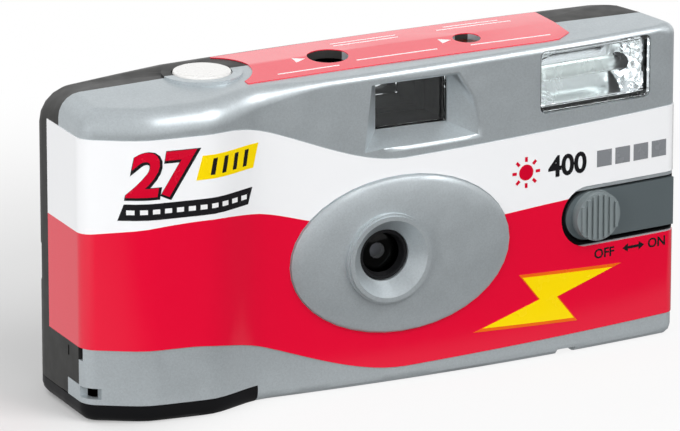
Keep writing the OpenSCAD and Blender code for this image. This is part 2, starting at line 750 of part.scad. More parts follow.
module top_label() {
    steps = 20;
    function station(k) = top_label_x[0] + (top_label_x[1] - top_label_x[0]) * k / steps;
    function front_edge(x) = top_label_y[0] + 3 * pow(max(0, x - top_label_x[1] + 5) / 5, 2);
    points = [for (k = [0:steps]) let (x = station(k), z = top_z(x), f = front_edge(x), low = top_at(x, f))
        each [[x, f, low], [x, f, low + label_t], [x, y_seam, z + label_t],
            [x, top_label_y[1], z + label_t], [x, top_label_y[1], z], [x, y_seam, z]]];
    color("crimson") difference() {
        polyhedron(points, concat(
            [for (i = [0:steps - 1]) for (k = [0:5]) let (a = 6 * i + k, b = 6 * i + (k + 1) % 6)
                for (t = [[a, b, b + 6], [a, b + 6, a + 6]]) t],
            [[0, 5, 2], [0, 2, 1], [5, 4, 3], [5, 3, 2]],
            [for (e = [6 * steps]) for (t = [[0, 1, 2], [0, 2, 5], [5, 2, 3], [5, 3, 4]]) t + [e, e, e]]));
        top_holes();
        rod_z(button, collar_r + 1 + label_margin, [0, body_h + overcut]);
    }
}

// Chassis: everything that the covers close over is carried by it
module cartridge_bay() {
    axis = [x_cart, y_cart];
    reach = [x_cart - chamber_r - 2 * rib, x_cart + chamber_r + 2 * rib];
    difference() {
        rod_z(axis, chamber_r + rib, [can_z[0], deck_top]);
        rod_z(axis, chamber_r, [can_z[0] - overcut, deck_z]);
        box(reach, [y_cart + 8, y_rear], [0, deck_z]);
        box(reach, [deck_y[1], y_rear], [0, body_h]);
    }
    box([x_cart + 11, gate_x[0] + 2], [y_cart + 6.8, y_cart + 8], [can_z[0] + 1, deck_top]);
    box([gate_x[0], gate_x[0] + 2], [y_cart + 6.8, y_gate], [can_z[0] + 1, deck_top]);
}
module film_gate() {
    box(gate_x, [y_gate - gate_t, y_gate], [film_z[0] - 3, deck_z + 0.4]);
    passage([2 * port_r + 2 * rib, 2 * port_r + 2 * rib], [frame_w + 2 * rib, frame_h + 2 * rib],
        [y_plate, y_gate]);
}
module roll_bay() {
    axis = [x_roll, y_roll];
    reach = [x_roll - roll_bay_r - 2 * rib, x_roll + roll_bay_r + 2 * rib];
    difference() {
        rod_z(axis, roll_bay_r + rib, [roll_bay_z[0] - rib, roll_bay_z[1] + rib]);
        rod_z(axis, roll_bay_r, roll_bay_z);
        box(reach, [y_roll + 6, y_rear], roll_bay_z);
        box(reach, [y_gate, y_rear], [0, body_h]);
    }
    box([gate_x[1] - 1, gate_x[1] + 1], [y_roll + 3, y_gate], [roll_bay_z[0] - rib, roll_bay_z[1] + rib]);
    for (x = [x_roll - 5.9, x_roll + 2.1])
        box([x, x + 2], [y_roll - 6, y_roll - 4.5], [roll_bay_z[1], flash_z - flash_h / 2 + 0.4]);
}
module deck() {
    box([x_cart + 12, tunnel_x[0] + rib / 2], [deck_y[0], y_gate - 0.5], [deck_z, deck_top]);
    rod_z(lever_pivot, 3, [deck_z + fit, deck_top + fit]);
    rod_z(lever_pivot, 2.2, [deck_z, lever_z - fit]);
    rod_z(lever_pivot, pin_r, [deck_z, lever_z + lever_t + 0.4]);
    rod_z(striker_pivot, pin_r, [deck_z, striker_z + striker_t + 0.4]);
    rod_z(dial, 1.8, [deck_z, dial_z - dial_gear_t - fit]);
    rod_z(dial, shaft_r, [deck_z, dial_z + dial_t + 0.4]);
    at_pawl() {
        box(pawl_x, [-pawl_w / 2, pawl_w / 2], [deck_z + 2 * fit, pawl_z]);
        box([pawl_x[0] + fit, pawl_x[1] - fit], [-pawl_w / 2 + fit, pawl_w / 2 + 4],
            [deck_z + 1.5 * fit, deck_top - fit]);
    }
}
module finder_tunnel() {
    box(tunnel_x, [y_finder - fit / 2, y_finder_mid], tunnel_z);
    box([finder_x - eyepiece_w / 2 - rib, finder_x + eyepiece_w / 2 + rib],
        [y_finder_mid - rib, y_finder_end],
        [finder_z - eyepiece_h / 2 - rib, finder_z + eyepiece_h / 2 + rib]);
    box([tunnel_x[1] - rib / 2, lamp[0] + 2.4], [lamp[1] - 2, lamp[1] + 2], [tunnel_z[0], lamp_z]);
}
module finder_bore() {
    box([tunnel_x[0] + rib, tunnel_x[1] - rib], [y_finder - overcut, y_finder_mid - rib],
        [tunnel_z[0] + rib, tunnel_z[1] - rib]);
    box([finder_x - eyepiece_w / 2, finder_x + eyepiece_w / 2], [y_finder, y_finder_end + overcut],
        [finder_z - eyepiece_h / 2, finder_z + eyepiece_h / 2]);
}
module shutter_plate() {
    y = [y_plate, y_plate + plate_t];
    box([holder_x[0] - 4, board_x[0] + board_ledge], y, [holder_z[0] - 1, tunnel_z[0]]);
    box([holder_x[0] - 4, tunnel_x[0]], y, [tunnel_z[0] - overcut, deck_top]);
    rod_y(blade_pivot[0], blade_pivot[1], blade_pin_r, [y_plate - shutter_room + 0.1, y_plate + plate_t / 2]);
    rod_y(spring_peg[0], spring_peg[1], 0.6, [y_plate - 2.4, y_plate + plate_t / 2]);
    for (z = [board_z + 3, board_z + board_h - 3])
        rod_y(board_x[0] + board_ledge / 2, z, board_ledge / 2, [board_y + board_t, y_plate + plate_t / 2]);
}
bay_x = [battery_x - contact_t - 0.2, battery_x + battery_l + battery_nub[0] + contact_t + 0.2];
module battery_bay() {
    z = [wall + fit, battery_z + 4];
    box([bay_x[0] - rib, bay_x[1] + rib], [bay_y, bay_y + 1.2], z);
    for (x = [bay_x[0] - rib, bay_x[1]])
        box([x, x + rib], [battery_y - 3, y_gate - 0.5], [z[0], battery_z + 3]);
    for (x = [battery_x + 9, battery_x + battery_l - 11])
        box([x, x + 2], [battery_y - 4, bay_y + 0.6], [z[0], battery_z - 1]);
}
module chassis() {
    color("#1c1c1e") difference() {
        union() {
            cartridge_bay();
            film_gate();
            roll_bay();
            deck();
            finder_tunnel();
            shutter_plate();
            battery_bay();
            box([sprocket[0] - 3, sprocket[0] + 3], [sprocket[1] - 2.4, y_gate - gate_t / 2],
                [shelf_z, shelf_z + 1.6]);
        }
        passage([2 * port_r, 2 * port_r], [frame_w, frame_h], [y_plate - 0.02, y_gate + 0.02]);
        finder_bore();
        rod_z([x_cart, y_cart], hub_r + running, [deck_z - overcut, deck_top + overcut]);
        rod_z(sprocket, shaft_r + running, [shelf_z - overcut, deck_top + overcut]);
        rod_z(sprocket, sprocket_r + tooth_l + gap, [sprocket_z - gap, sprocket_z + sprocket_t + gap]);
        rod_z([x_roll, y_roll], 2 + running, [roll_bay_z[0] - rib - overcut, roll_bay_z[1] + rib + overcut]);
        rod_x(battery_y, battery_z, battery_r + fit / 2, [battery_x, battery_x + battery_l]);
    }
}

// Lens and shutter
module lens_holder() {
    inset = 1.5;
    left = holder_x[0] + inset;
    right = holder_x[1] - inset;
    legs = [[left, holder_z[0] + inset], [right, holder_z[0] + inset], [right, holder_z[1] - inset]];
    color("#222222") difference() {
        union() {
            translate([(holder_x[0] + holder_x[1]) / 2, 0, (holder_z[0] + holder_z[1]) / 2])
                along_y([y_holder, y_holder + holder_t])
                polygon(rounded(holder_x[1] - holder_x[0], holder_z[1] - holder_z[0], 2));
            rod_y(lens_x, lens_z, lens_d / 2 + running + 1.2,
                [y_front + wall + fit, y_holder + holder_t / 2]);
            for (p = legs) rod_y(p[0], p[1], 1, [y_holder, y_plate]);
        }
        rod_y(lens_x, lens_z, lens_d / 2 + running, [y_front, y_holder]);
        rod_y(lens_x, lens_z, aperture_d / 2, [y_front, y_plate]);
        rod_y(blade_pivot[0], blade_pivot[1], blade_pin_r + fit, [y_holder + holder_t - 0.4, y_plate]);
    }
}
module lens() {
    bulge = 0.7;
    n = 8;
    r = lens_d / 2;
    curve = [for (k = [0:n]) [r * 0.86 * k / n, bulge * (1 - pow(k / n, 2))]];
    color("lightcyan") translate([lens_x, y_holder, lens_z]) rotate([90, 0, 0]) rotate_extrude()
        polygon(concat([[0, 0], [r, 0], [r, lens_t - bulge], [r * 0.86, lens_t - bulge]],
            [for (k = [n - 1:-1:0]) [curve[k][0], lens_t - bulge + curve[k][1]]]));
}
module lens_retainer() {
    y_lens = y_holder - lens_t;
    r = lens_d / 2;
    color("#141414") translate([lens_x, y_lens + 0.7, lens_z]) rotate([90, 0, 0]) rotate_extrude()
        polygon([[r * 0.88, 0], [r, 0], [r, 0.95], [retainer_r, 0.95], [retainer_r, 2.3],
            [retainer_r - 0.5, 2.3], [r * 0.7, 0.95]]);
}
module shutter_blade() {
    tip = [lens_x, lens_z];
    color("#2a2a2c") along_y([y_plate - 0.25 - blade_t, y_plate - 0.25]) difference() {
        union() {
            translate(tip) circle(r = blade_tip_r);
            translate(blade_pivot) circle(r = 2.2);
            bar(blade_pivot, tip, 3.4);
            bar(blade_pivot, [blade_pivot[0], tab_top], 1.6);
        }
        translate(blade_pivot) circle(r = blade_pin_r + running);
    }
}
module bar(p, q, w) {
    d = q - p;
    translate(p) rotate(atan2(d[1], d[0])) translate([0, -w / 2]) square([norm(d), w]);
}
tab_top = deck_z - 4;
spring_peg = [blade_pivot[0] + 6.3, tab_top - 2.5];
module blade_spring() {
    r = 0.9;
    color("silver") translate([blade_pivot[0] + 1.3, y_plate - 1.65, spring_peg[1]]) rotate([0, 90, 0])
        coil(r, 0.35, 5, spring_peg[0] - blade_pivot[0] - 2);
}
module striker_lever() {
    tail = striker_pivot + [-5.4, -0.7];
    tip = striker_pivot + finger;
    color("#b9a36a") {
        difference() {
            union() {
                translate([0, 0, striker_z]) linear_extrude(striker_t) union() {
                    translate(striker_pivot) circle(r = 2.4);
                    bar(striker_pivot, tail, 1.4);
                    bar(striker_pivot, tip, 1.2);
                }
                box([tip[0] - 0.5, tip[0] + 0.5], [tip[1] - 0.6, tip[1] + 0.4],
                    [tab_top + 0.4, striker_z + striker_t]);
            }
            rod_z(striker_pivot, pin_r + running, [0, body_h]);
        }
    }
}
module striker_spring() {
    color("silver") translate([striker_pivot[0], striker_pivot[1], deck_top])
        coil(1.8, 0.4, 2, striker_z - deck_top - 0.1);
}
module release_lever() {
    tip = button + [0, -1.8];
    latch = [striker_pivot[0] - 7.2, lever_pivot[1] + 1.1];
    color("#d8d3c4") difference() {
        union() {
            translate([0, 0, lever_z]) linear_extrude(lever_t) union() {
                translate(lever_pivot) circle(r = 2.4);
                bar(lever_pivot, tip, 1.6);
                translate(tip) circle(r = 0.9);
                bar(lever_pivot, latch, 1.4);
            }
            box([latch[0] - 1, latch[0]], [latch[1] - 0.6, latch[1] + 0.6],
                [striker_z + striker_t + fit, lever_z + lever_t / 2]);
        }
        rod_z(lever_pivot, pin_r + running, [0, body_h]);
    }
}
module shutter_button() {
    r = button_d / 2;
    color("white") translate([button[0], button[1], 0]) rotate_extrude() polygon([
        [0, stem_end], [0.5, stem_end], [stem_r, stem_end + 0.5], [stem_r + 0.4, stem_end + 0.5],
        [stem_r + 0.4, ledge_z - 0.1], [stem_r, ledge_z - 0.1], [stem_r, button_z - button_head_t],
        [r, button_z - button_head_t], [r, button_z - 0.5], [r - 0.15, button_z - 0.15], [r - 0.5, button_z],
        [0, button_z - 0.25]]);
}
module button_spring() {
    color("silver") translate([button[0], button[1], ledge_z + ledge_t])
        coil(3.2, 0.35, 2, spring_room - 0.05);
}

// Film transport
function knurl(r, d, n) = [
    for (k = [0:2 * n - 1]) let (q = k % 2 == 0 ? r : r - d, a = 180 * k / n) [q * cos(a), q * sin(a)]];
module thumbwheel() {
    fork_z = can_z[1] - 2.6;
    color("#3a3a3a") translate([x_cart, y_cart, 0]) difference() {
        union() {
            translate([0, 0, wheel_z]) linear_extrude(wheel_t) polygon(knurl(wheel_r, 0.5, wheel_ridges));
            rod_z([0, 0], hub_r, [deck_z + 0.1, wheel_z + overcut]);
            rod_z([0, 0], 3, [fork_z, wheel_z]);
        }
        rod_z([0, 0], wheel_r - 3.5, [wheel_z + wheel_t - 0.8, body_h]);
        box([-4, 4], [-0.75, 0.75], [fork_z - overcut, fork_z + 1.9]);
    }
}

// Leaf that clicks over the ridges of the wheel; its frame points out from the wheel's axis
pawl_x = [wheel_r + gap, wheel_r + gap + pawl_l];
module at_pawl() {
    translate([x_cart, y_cart, 0]) rotate([0, 0, pawl_a]) children();
}
module ratchet_pawl() {
    color("#c8c8c8") at_pawl() {
        box(pawl_x, [-pawl_w / 2, pawl_w / 2], [pawl_z, pawl_z + pawl_t]);
        box([pawl_x[0], pawl_x[0] + pawl_t], [-pawl_w / 2, pawl_w / 2], [pawl_z, pawl_z + 2]);
    }
}
module film_sprocket() {
    color("#e0ddd0") {
        rod_z(sprocket, shaft_r, [shelf_z, dial_z - 0.4]);
        rod_z(sprocket, sprocket_r, [sprocket_z, sprocket_z + sprocket_t]);
        for (k = [0:7])
            translate([sprocket[0], sprocket[1], sprocket_z + sprocket_t - 2.6]) rotate([0, 0, 45 * k])
                box([sprocket_r - 0.5, sprocket_r + tooth_l], [-0.7, 0.7], [0, 1.8]);
        rod_z(sprocket, pinion_r, [dial_z - 1.4, dial_z - 0.4]);
    }
}
module metering_cam() {
    color("#d0b070") difference() {
        rod_z(sprocket, cam_r, [deck_top + fit, deck_top + fit + cam_t]);
        rod_z(sprocket, shaft_r + 0.03, [0, body_h]);
        translate([sprocket[0], sprocket[1], deck_top]) rotate([0, 0, 200])
            box([cam_r - 1.1, cam_r + overcut], [-0.8, 0.8], [0, cam_t + overcut]);
    }
}
module counter_dial() {
    color("white") difference() {
        union() {
            rod_z(dial, dial_d / 2, [dial_z, dial_z + dial_t]);
            translate([dial[0], dial[1], dial_z - dial_gear_t]) linear_extrude(dial_gear_t)
                polygon(knurl(dial_gear_r, 0.6, 30));
        }
        rod_z(dial, shaft_r + running, [0, body_h]);
    }
}

// Film
module cartridge_shell() {
    r = can_d / 2 - 0.2;
    color("goldenrod") difference() {
        union() {
            rod_z([x_cart, y_cart], r, [can_z[0] + 0.6, can_z[1] - 0.6]);
            box([x_cart + 3, lip_x[1]], [y_film - 0.7, y_film + film_t + 0.5], film_z);
        }
        rod_z([x_cart, y_cart], r - 0.4, [0, body_h]);
    }
}
module cartridge_caps() {
    r = can_d / 2;
    cap_t = 0.55;
    skirt = 1.6;
    color("darkslategray") translate([x_cart, y_cart, 0]) {
        difference() {
            rod_z([0, 0], r, [can_z[0], can_z[0] + skirt]);
            rod_z([0, 0], r - 0.18, [can_z[0] + cap_t, can_z[0] + skirt + overcut]);
            rod_z([0, 0], spool_r + running, [0, body_h]);
        }
        difference() {
            rod_z([0, 0], r, [can_z[1] - skirt, can_z[1]]);
            rod_z([0, 0], r - 0.18, [can_z[1] - skirt - overcut, can_z[1] - cap_t]);
            rod_z([0, 0], spool_r + running, [0, body_h]);
        }
    }
}
module cartridge_spool() {
    socket_z = can_z[1] - 3;
    color("#202020") translate([x_cart, y_cart, 0]) {
        difference() {
            union() {
                rod_z([0, 0], spool_r, [can_z[0] - 0.4, can_z[1] + 0.8]);
                for (z = [film_z[0] - 1.3, film_z[1] + 0.3]) rod_z([0, 0], can_d / 2 - 1.4, [z, z + 1]);
            }
            rod_z([0, 0], 3.2, [socket_z, can_z[1] + 2]);
        }
        box([-3.3, 3.3], [-0.5, 0.5], [socket_z - 0.2, socket_z + 2]);
    }
}
perforation = [2, 2.8];
perforation_pitch = 4.75;
module film_strip() {
    color("#5a4632") difference() {
        box([lip_x[1], x_roll], [y_film, y_film + film_t], film_z);
        for (x = [lip_x[1] + 3 : perforation_pitch : x_roll - 3])
            for (z = [film_z[0] + 2, film_z[1] - 2 - perforation[1]])
                box([x, x + perforation[0]], [y_film - overcut, y_film + overcut], [z, z + perforation[1]]);
    }
}
module film_roll() {
    color("#4a3a2c") difference() {
        rod_z([x_roll, y_roll], roll_r, film_z);
        rod_z([x_roll, y_roll], core_d / 2 + running, [0, body_h]);
    }
}
module supply_spool() {
    color("#26262a") {
        rod_z([x_roll, y_roll], core_d / 2, [roll_bay_z[0] + fit, roll_bay_z[1] - fit]);
        rod_z([x_roll, y_roll], 2, [roll_bay_z[0] - rib, roll_bay_z[1] + rib]);
        rod_z([x_roll, y_roll], roll_r - 0.6, [film_z[1] + fit, film_z[1] + 1.2]);
    }
}

// Viewfinder
module finder_front_lens() {
    color("lightblue") box(window_x, [y_finder, y_finder + finder_lens_t], window_z);
}
module finder_eyepiece() {
    color("lightblue") box([finder_x - eyepiece_w / 2 + fit, finder_x + eyepiece_w / 2 - fit],
        [y_finder_end - 2, y_finder_end - 0.4],
        [finder_z - eyepiece_h / 2 + fit, finder_z + eyepiece_h / 2 - fit]);
}

// Flash
module flash_window() {
    color("whitesmoke") on_front_at(flash_x, flash_z, flash_a) {
        along_y([0.3, wall + fit]) polygon(rounded(flash_w - 2 * fit, flash_h - 2 * fit, window_r - fit));
        box([-flash_w / 2 - flange_w, flash_w / 2 + flange_w], [wall + fit, wall + fit + flange_t],
            [-flash_h / 2 + 1.1, flash_h / 2 - 1.1]);
    }
}
function bowl(h, depth, back) = [for (k = [-8:8]) let (t = k / 8) [back - depth * t * t, h / 2 * t]];
module reflector_slice(x, outline) {
    translate([x[0], reflector_y, 0]) rotate([90, 0, 90]) linear_extrude(x[1] - x[0]) polygon(outline);
}
module reflector_plan(half) {
    back = reflector_y + reflector_d + overcut;
    front = reflector_y - overcut;
    linear_extrude(2 * far, center = true) polygon([[-half - reflector_flare, front],
        [half + reflector_flare, front], [half - reflector_flare, back], [-half + reflector_flare, back]]);
}
module flash_reflector() {
    outer = bowl(reflector_h + 2 * reflector_t, reflector_d, reflector_d);
    inner = bowl(reflector_h, reflector_d - reflector_t, reflector_d - reflector_t);
    half = flash_w / 2;
    middle = half - reflector_flare;
    color("gainsboro") on_front_at(flash_x, flash_z, flash_a) difference() {
        intersection() {
            reflector_slice([-half, half], outer);
            reflector_plan(middle);
        }
        intersection() {
            reflector_slice([-half, half], concat(inner, [[-overcut, reflector_h / 2], [-overcut, -reflector_h / 2]]));
            reflector_plan(middle - 1.4 * reflector_t);
        }
        rod_x(tube_at, 0, tube_d / 2 + fit, [-half - overcut, half + overcut]);
    }
}
module flash_tube() {
    color("azure") on_front_at(flash_x, flash_z, flash_a)
        rod_x(tube_at, 0, tube_d / 2, [-tube_half, tube_half]);
}
module tube_electrodes() {
    color("silver") on_front_at(flash_x, flash_z, flash_a) for (x = [-tube_half - electrode_l, tube_half])
        rod_x(tube_at, 0, tube_d / 2 + 0.2, [x, x + electrode_l]);
}
module flash_switch() {
    z = [-slider_h / 2, slider_h / 2];
    plate_y = [0, slider_t];
    hook = [-post_h / 2 - hook_over[1], post_h / 2 + hook_over[1]];
    color("dimgray") union() {
        on_front_at(slider_x, slider_z, slider_a) {
            box([slider_left + slider_h / 2, slider_right], plate_y, z);
            rod_y(slider_left + slider_h / 2, 0, slider_h / 2, plate_y);
            rod_y(knob_at, 0, knob_d / 2, [-knob_rise, slider_t / 2]);
            for (k = [-3:3])
                let (x = knob_at + ridge_pitch * k, w = sqrt(pow(knob_d / 2 - 0.4, 2) - pow(ridge_pitch * k, 2)))
                box([x - ridge_w / 2, x + ridge_w / 2], [-knob_rise - ridge_rise, -knob_rise + 0.2], [-w, w]);
            box([post_at, post_at + post_w], [slider_t / 2, hook_y + hook_t], [-post_h / 2, post_h / 2]);
            box([post_at - hook_over[0], post_at + post_w + hook_over[0]], [hook_y, hook_y + hook_t], hook);
        }
    }
}
module switch_contact() {
    end = slider_x + slider_left - 0.5;
    color("gold") box([min(board_x[1] - 2, end - 4.4), end], [board_y + board_t, board_y + board_t + 0.3],
        [slider_z - 1.5, slider_z + 1.5]);
}

// Electrics
module circuit_board() {
    color("darkgreen") box(board_x, [board_y, board_y + board_t], [board_z, board_z + board_h]);
}
module flash_capacitor() {
    r = capacitor_d / 2;
    color("#20304a") translate([capacitor[0], capacitor[1], capacitor_z]) rotate_extrude() polygon([
        [0, 0], [r - 0.4, 0], [r, 0.4], [r, 2], [r - 0.4, 2.4], [r - 0.4, 3], [r, 3.4],
        [r, capacitor_l - 0.4], [r - 0.4, capacitor_l], [0, capacitor_l]]);
}
module transformer() {
    x = [parts_x, parts_x + 9];
    y = board_y + board_t;
    z = [board_z + 0.52 * board_h, board_z + 0.89 * board_h];
    color("#3a3530") {
        box(x, [y, y + 1.4], z);
        box(x, [y + 5.6, y + 7], z);
        for (e = [x[0], x[1] - 1.4]) box([e, e + 1.4], [y, y + 7], [z[0] + 2, z[1] - 2]);
        rod_z([(x[0] + x[1]) / 2, y + 3.5], 2.9, [z[0] + 0.6, z[1] - 0.6]);
    }
}
module trigger_coil() {
    x = [parts_x + 0.2, parts_x + 8.2];
    y = board_y + board_t + 2.6;
    z = board_z + 0.25 * board_h;
    color("#a05a2c") {
        rod_x(y, z, 2.1, x);
        for (e = [x[0], x[1] - 1]) rod_x(y, z, 2.6, [e, e + 1]);
    }
}
module board_parts() {
    y = board_y + board_t;
    color("tan") {
        for (x = [parts_x, parts_x + 4.4]) rod_x(y + 0.9, board_z + 1.6, 0.9, [x, x + 3]);
        box([parts_x + 0.6, parts_x + 4.6], [y, y + 2.4], [board_z + 0.39 * board_h, board_z + 0.49 * board_h]);
    }
}
module ready_lamp() {
    color("orange") {
        rod_z(lamp, lamp_r, [lamp_z, lamp_top - lamp_r]);
        translate([lamp[0], lamp[1], lamp_top - lamp_r]) sphere(r = lamp_r);
    }
}
module light_pipe() {
    color("orangered") {
        rod_z(lamp, pipe_r, [lamp_top + fit, pipe_top]);
        rod_z(lamp, pipe_r + pipe_flange, [lamp_top + fit, pipe_top - wall]);
    }
}
module battery() {
    color("#30303a") {
        rod_x(battery_y, battery_z, battery_r, [battery_x, battery_x + battery_l]);
        rod_x(battery_y, battery_z, battery_nub[1],
            [battery_x + battery_l, battery_x + battery_l + battery_nub[0]]);
    }
}
module battery_contacts() {
    ends = [battery_x - 0.1 - contact_t, battery_x + battery_l + battery_nub[0] + 0.1];
    color("gainsboro") for (x = ends)
        box([x, x + contact_t], [battery_y - 3, bay_y - 0.1], [battery_z - 4, battery_z + 2.6]);
}
module sync_contact() {
    x = holder_x[0] - 3.4;
    color("gold") {
        box([x - 0.6, x + 0.2], [y_plate - 0.3, y_plate], [tab_top - 7, tab_top + 1]);
        box([x - 0.1, x + 0.2], [y_plate - 1.6, y_plate], [tab_top - 5, tab_top + 1]);
    }
}

front_cover();
rear_cover();
film_door();
wrap_label();
top_label();
chassis();
lens_holder();
lens();
lens_retainer();
shutter_blade();
blade_spring();
striker_lever();
striker_spring();
release_lever();
shutter_button();
button_spring();
thumbwheel();
ratchet_pawl();
film_sprocket();
metering_cam();
counter_dial();
cartridge_shell();
cartridge_caps();
cartridge_spool();
film_strip();
film_roll();
supply_spool();
finder_front_lens();
finder_eyepiece();
flash_window();
flash_reflector();
flash_tube();
tube_electrodes();
flash_switch();
switch_contact();
circuit_board();
flash_capacitor();
transformer();
trigger_coil();
board_parts();
ready_lamp();
light_pipe();
battery();
battery_contacts();
sync_contact();
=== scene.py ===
"""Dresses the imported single-use film camera and sets it in a plain studio.

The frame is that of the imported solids, in metres: X runs to the right seen from the front, the front
faces -Y and Z is up. Sizes in the classes are in millimetres, and those of the studio in metres.
"""

from __future__ import annotations

import json
import logging
import math
from dataclasses import dataclass, field
from enum import Enum

import bpy
from mathutils import Matrix, Vector
from mathutils.bvhtree import BVHTree

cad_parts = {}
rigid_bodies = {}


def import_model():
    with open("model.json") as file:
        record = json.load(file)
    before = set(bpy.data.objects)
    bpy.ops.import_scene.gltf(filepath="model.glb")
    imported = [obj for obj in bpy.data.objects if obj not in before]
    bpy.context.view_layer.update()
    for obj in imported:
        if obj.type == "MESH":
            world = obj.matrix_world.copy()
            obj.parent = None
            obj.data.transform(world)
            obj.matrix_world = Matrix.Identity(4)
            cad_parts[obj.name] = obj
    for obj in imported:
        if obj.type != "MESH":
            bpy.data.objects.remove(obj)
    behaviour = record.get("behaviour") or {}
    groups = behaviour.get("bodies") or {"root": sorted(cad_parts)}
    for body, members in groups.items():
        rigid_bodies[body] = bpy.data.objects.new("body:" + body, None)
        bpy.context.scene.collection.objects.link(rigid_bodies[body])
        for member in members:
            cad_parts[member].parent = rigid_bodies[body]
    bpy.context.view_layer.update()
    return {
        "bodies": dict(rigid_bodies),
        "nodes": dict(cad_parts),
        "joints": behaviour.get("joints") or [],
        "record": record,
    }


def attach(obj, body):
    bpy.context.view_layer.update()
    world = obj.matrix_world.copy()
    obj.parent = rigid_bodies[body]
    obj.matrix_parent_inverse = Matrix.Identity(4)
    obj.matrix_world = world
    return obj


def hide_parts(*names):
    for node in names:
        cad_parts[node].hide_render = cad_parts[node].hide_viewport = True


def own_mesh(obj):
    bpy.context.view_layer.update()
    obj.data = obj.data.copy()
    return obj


Point = tuple[float, float]
Place = tuple[float, float, float]
Nodes = bpy.types.NodeTree
Socket = bpy.types.NodeSocket
Piece = bpy.types.Object

LOG = logging.getLogger("camera")
MM = 0.001
# Corners of a copy, or of a mark, that lie closer than this are one, in millimetres
SOLID_MERGE = 0.002
MARK_MERGE = 0.005
# Faces that turn by less are one flat, and edges that turn by more are sharp, in degrees
FLAT = 0.3
SHARP = 40.0
# Most of a noise pattern's values lie between these
NOISE_RANGE = (0.3, 0.7)
# The wave pattern's scale that gives one band in a metre
WAVE_UNIT = math.tau / 20


def linear(code: str) -> tuple[float, float, float, float]:
    """Turns an sRGB hex colour into linear light.

    Args:
        code: Six hex digits after a hash.

    Returns:
        Red, green and blue in linear light, and a full alpha.
    """
    parts = [int(code[k : k + 2], 16) / 255 for k in (1, 3, 5)]
    light = [c / 12.92 if c <= 0.04045 else ((c + 0.055) / 1.055) ** 2.4 for c in parts]
    return light[0], light[1], light[2], 1.0


def add(
    tree: Nodes, kind: str, settings: dict | None = None, links: dict | None = None, out: str | int = 0
) -> Socket:
    """Adds a shader node with its settings and links.

    Args:
        tree: The node tree that takes the node.
        kind: The shader node's type.
        settings: Values by socket name, socket number or attribute name.
        links: Output sockets by the name or number of the input they feed.
        out: The name or number of the output that is wanted.

    Returns:
        That output's socket.
    """
    node = tree.nodes.new("ShaderNode" + kind)
    for key, value in (settings or {}).items():
        if isinstance(key, int) or key in node.inputs:
            node.inputs[key].default_value = value
        else:
            setattr(node, key, value)
    for key, socket in (links or {}).items():
        tree.links.new(socket, node.inputs[key])
    return node.outputs[out]


class Body(str, Enum):
    """The moving bodies that new pieces ride on."""

    CAMERA = "camera"
    DOOR = "door"
    BUTTON = "button"
    ADVANCE = "advance"
    COUNTER = "counter"
    SWITCH = "switch"


class Slot(str, Enum):
    """The record's material slots."""

    SILVER = "silver_paint"
    SHELL = "dark_shell"
    LABEL = "printed_label"
    CLEAR = "clear_acrylic"
    MOULDING = "black_moulding"
    REFLECTOR = "reflector_metal"
    TUBE = "tube_glass"
    PIPE = "pipe_amber"
    SWITCH = "switch_grey"
    WHITE = "button_white"
    SPRING = "spring_steel"


class Facing(Enum):
    """Which way a printed mark looks."""

    FRONT = "front"
    TOP = "top"


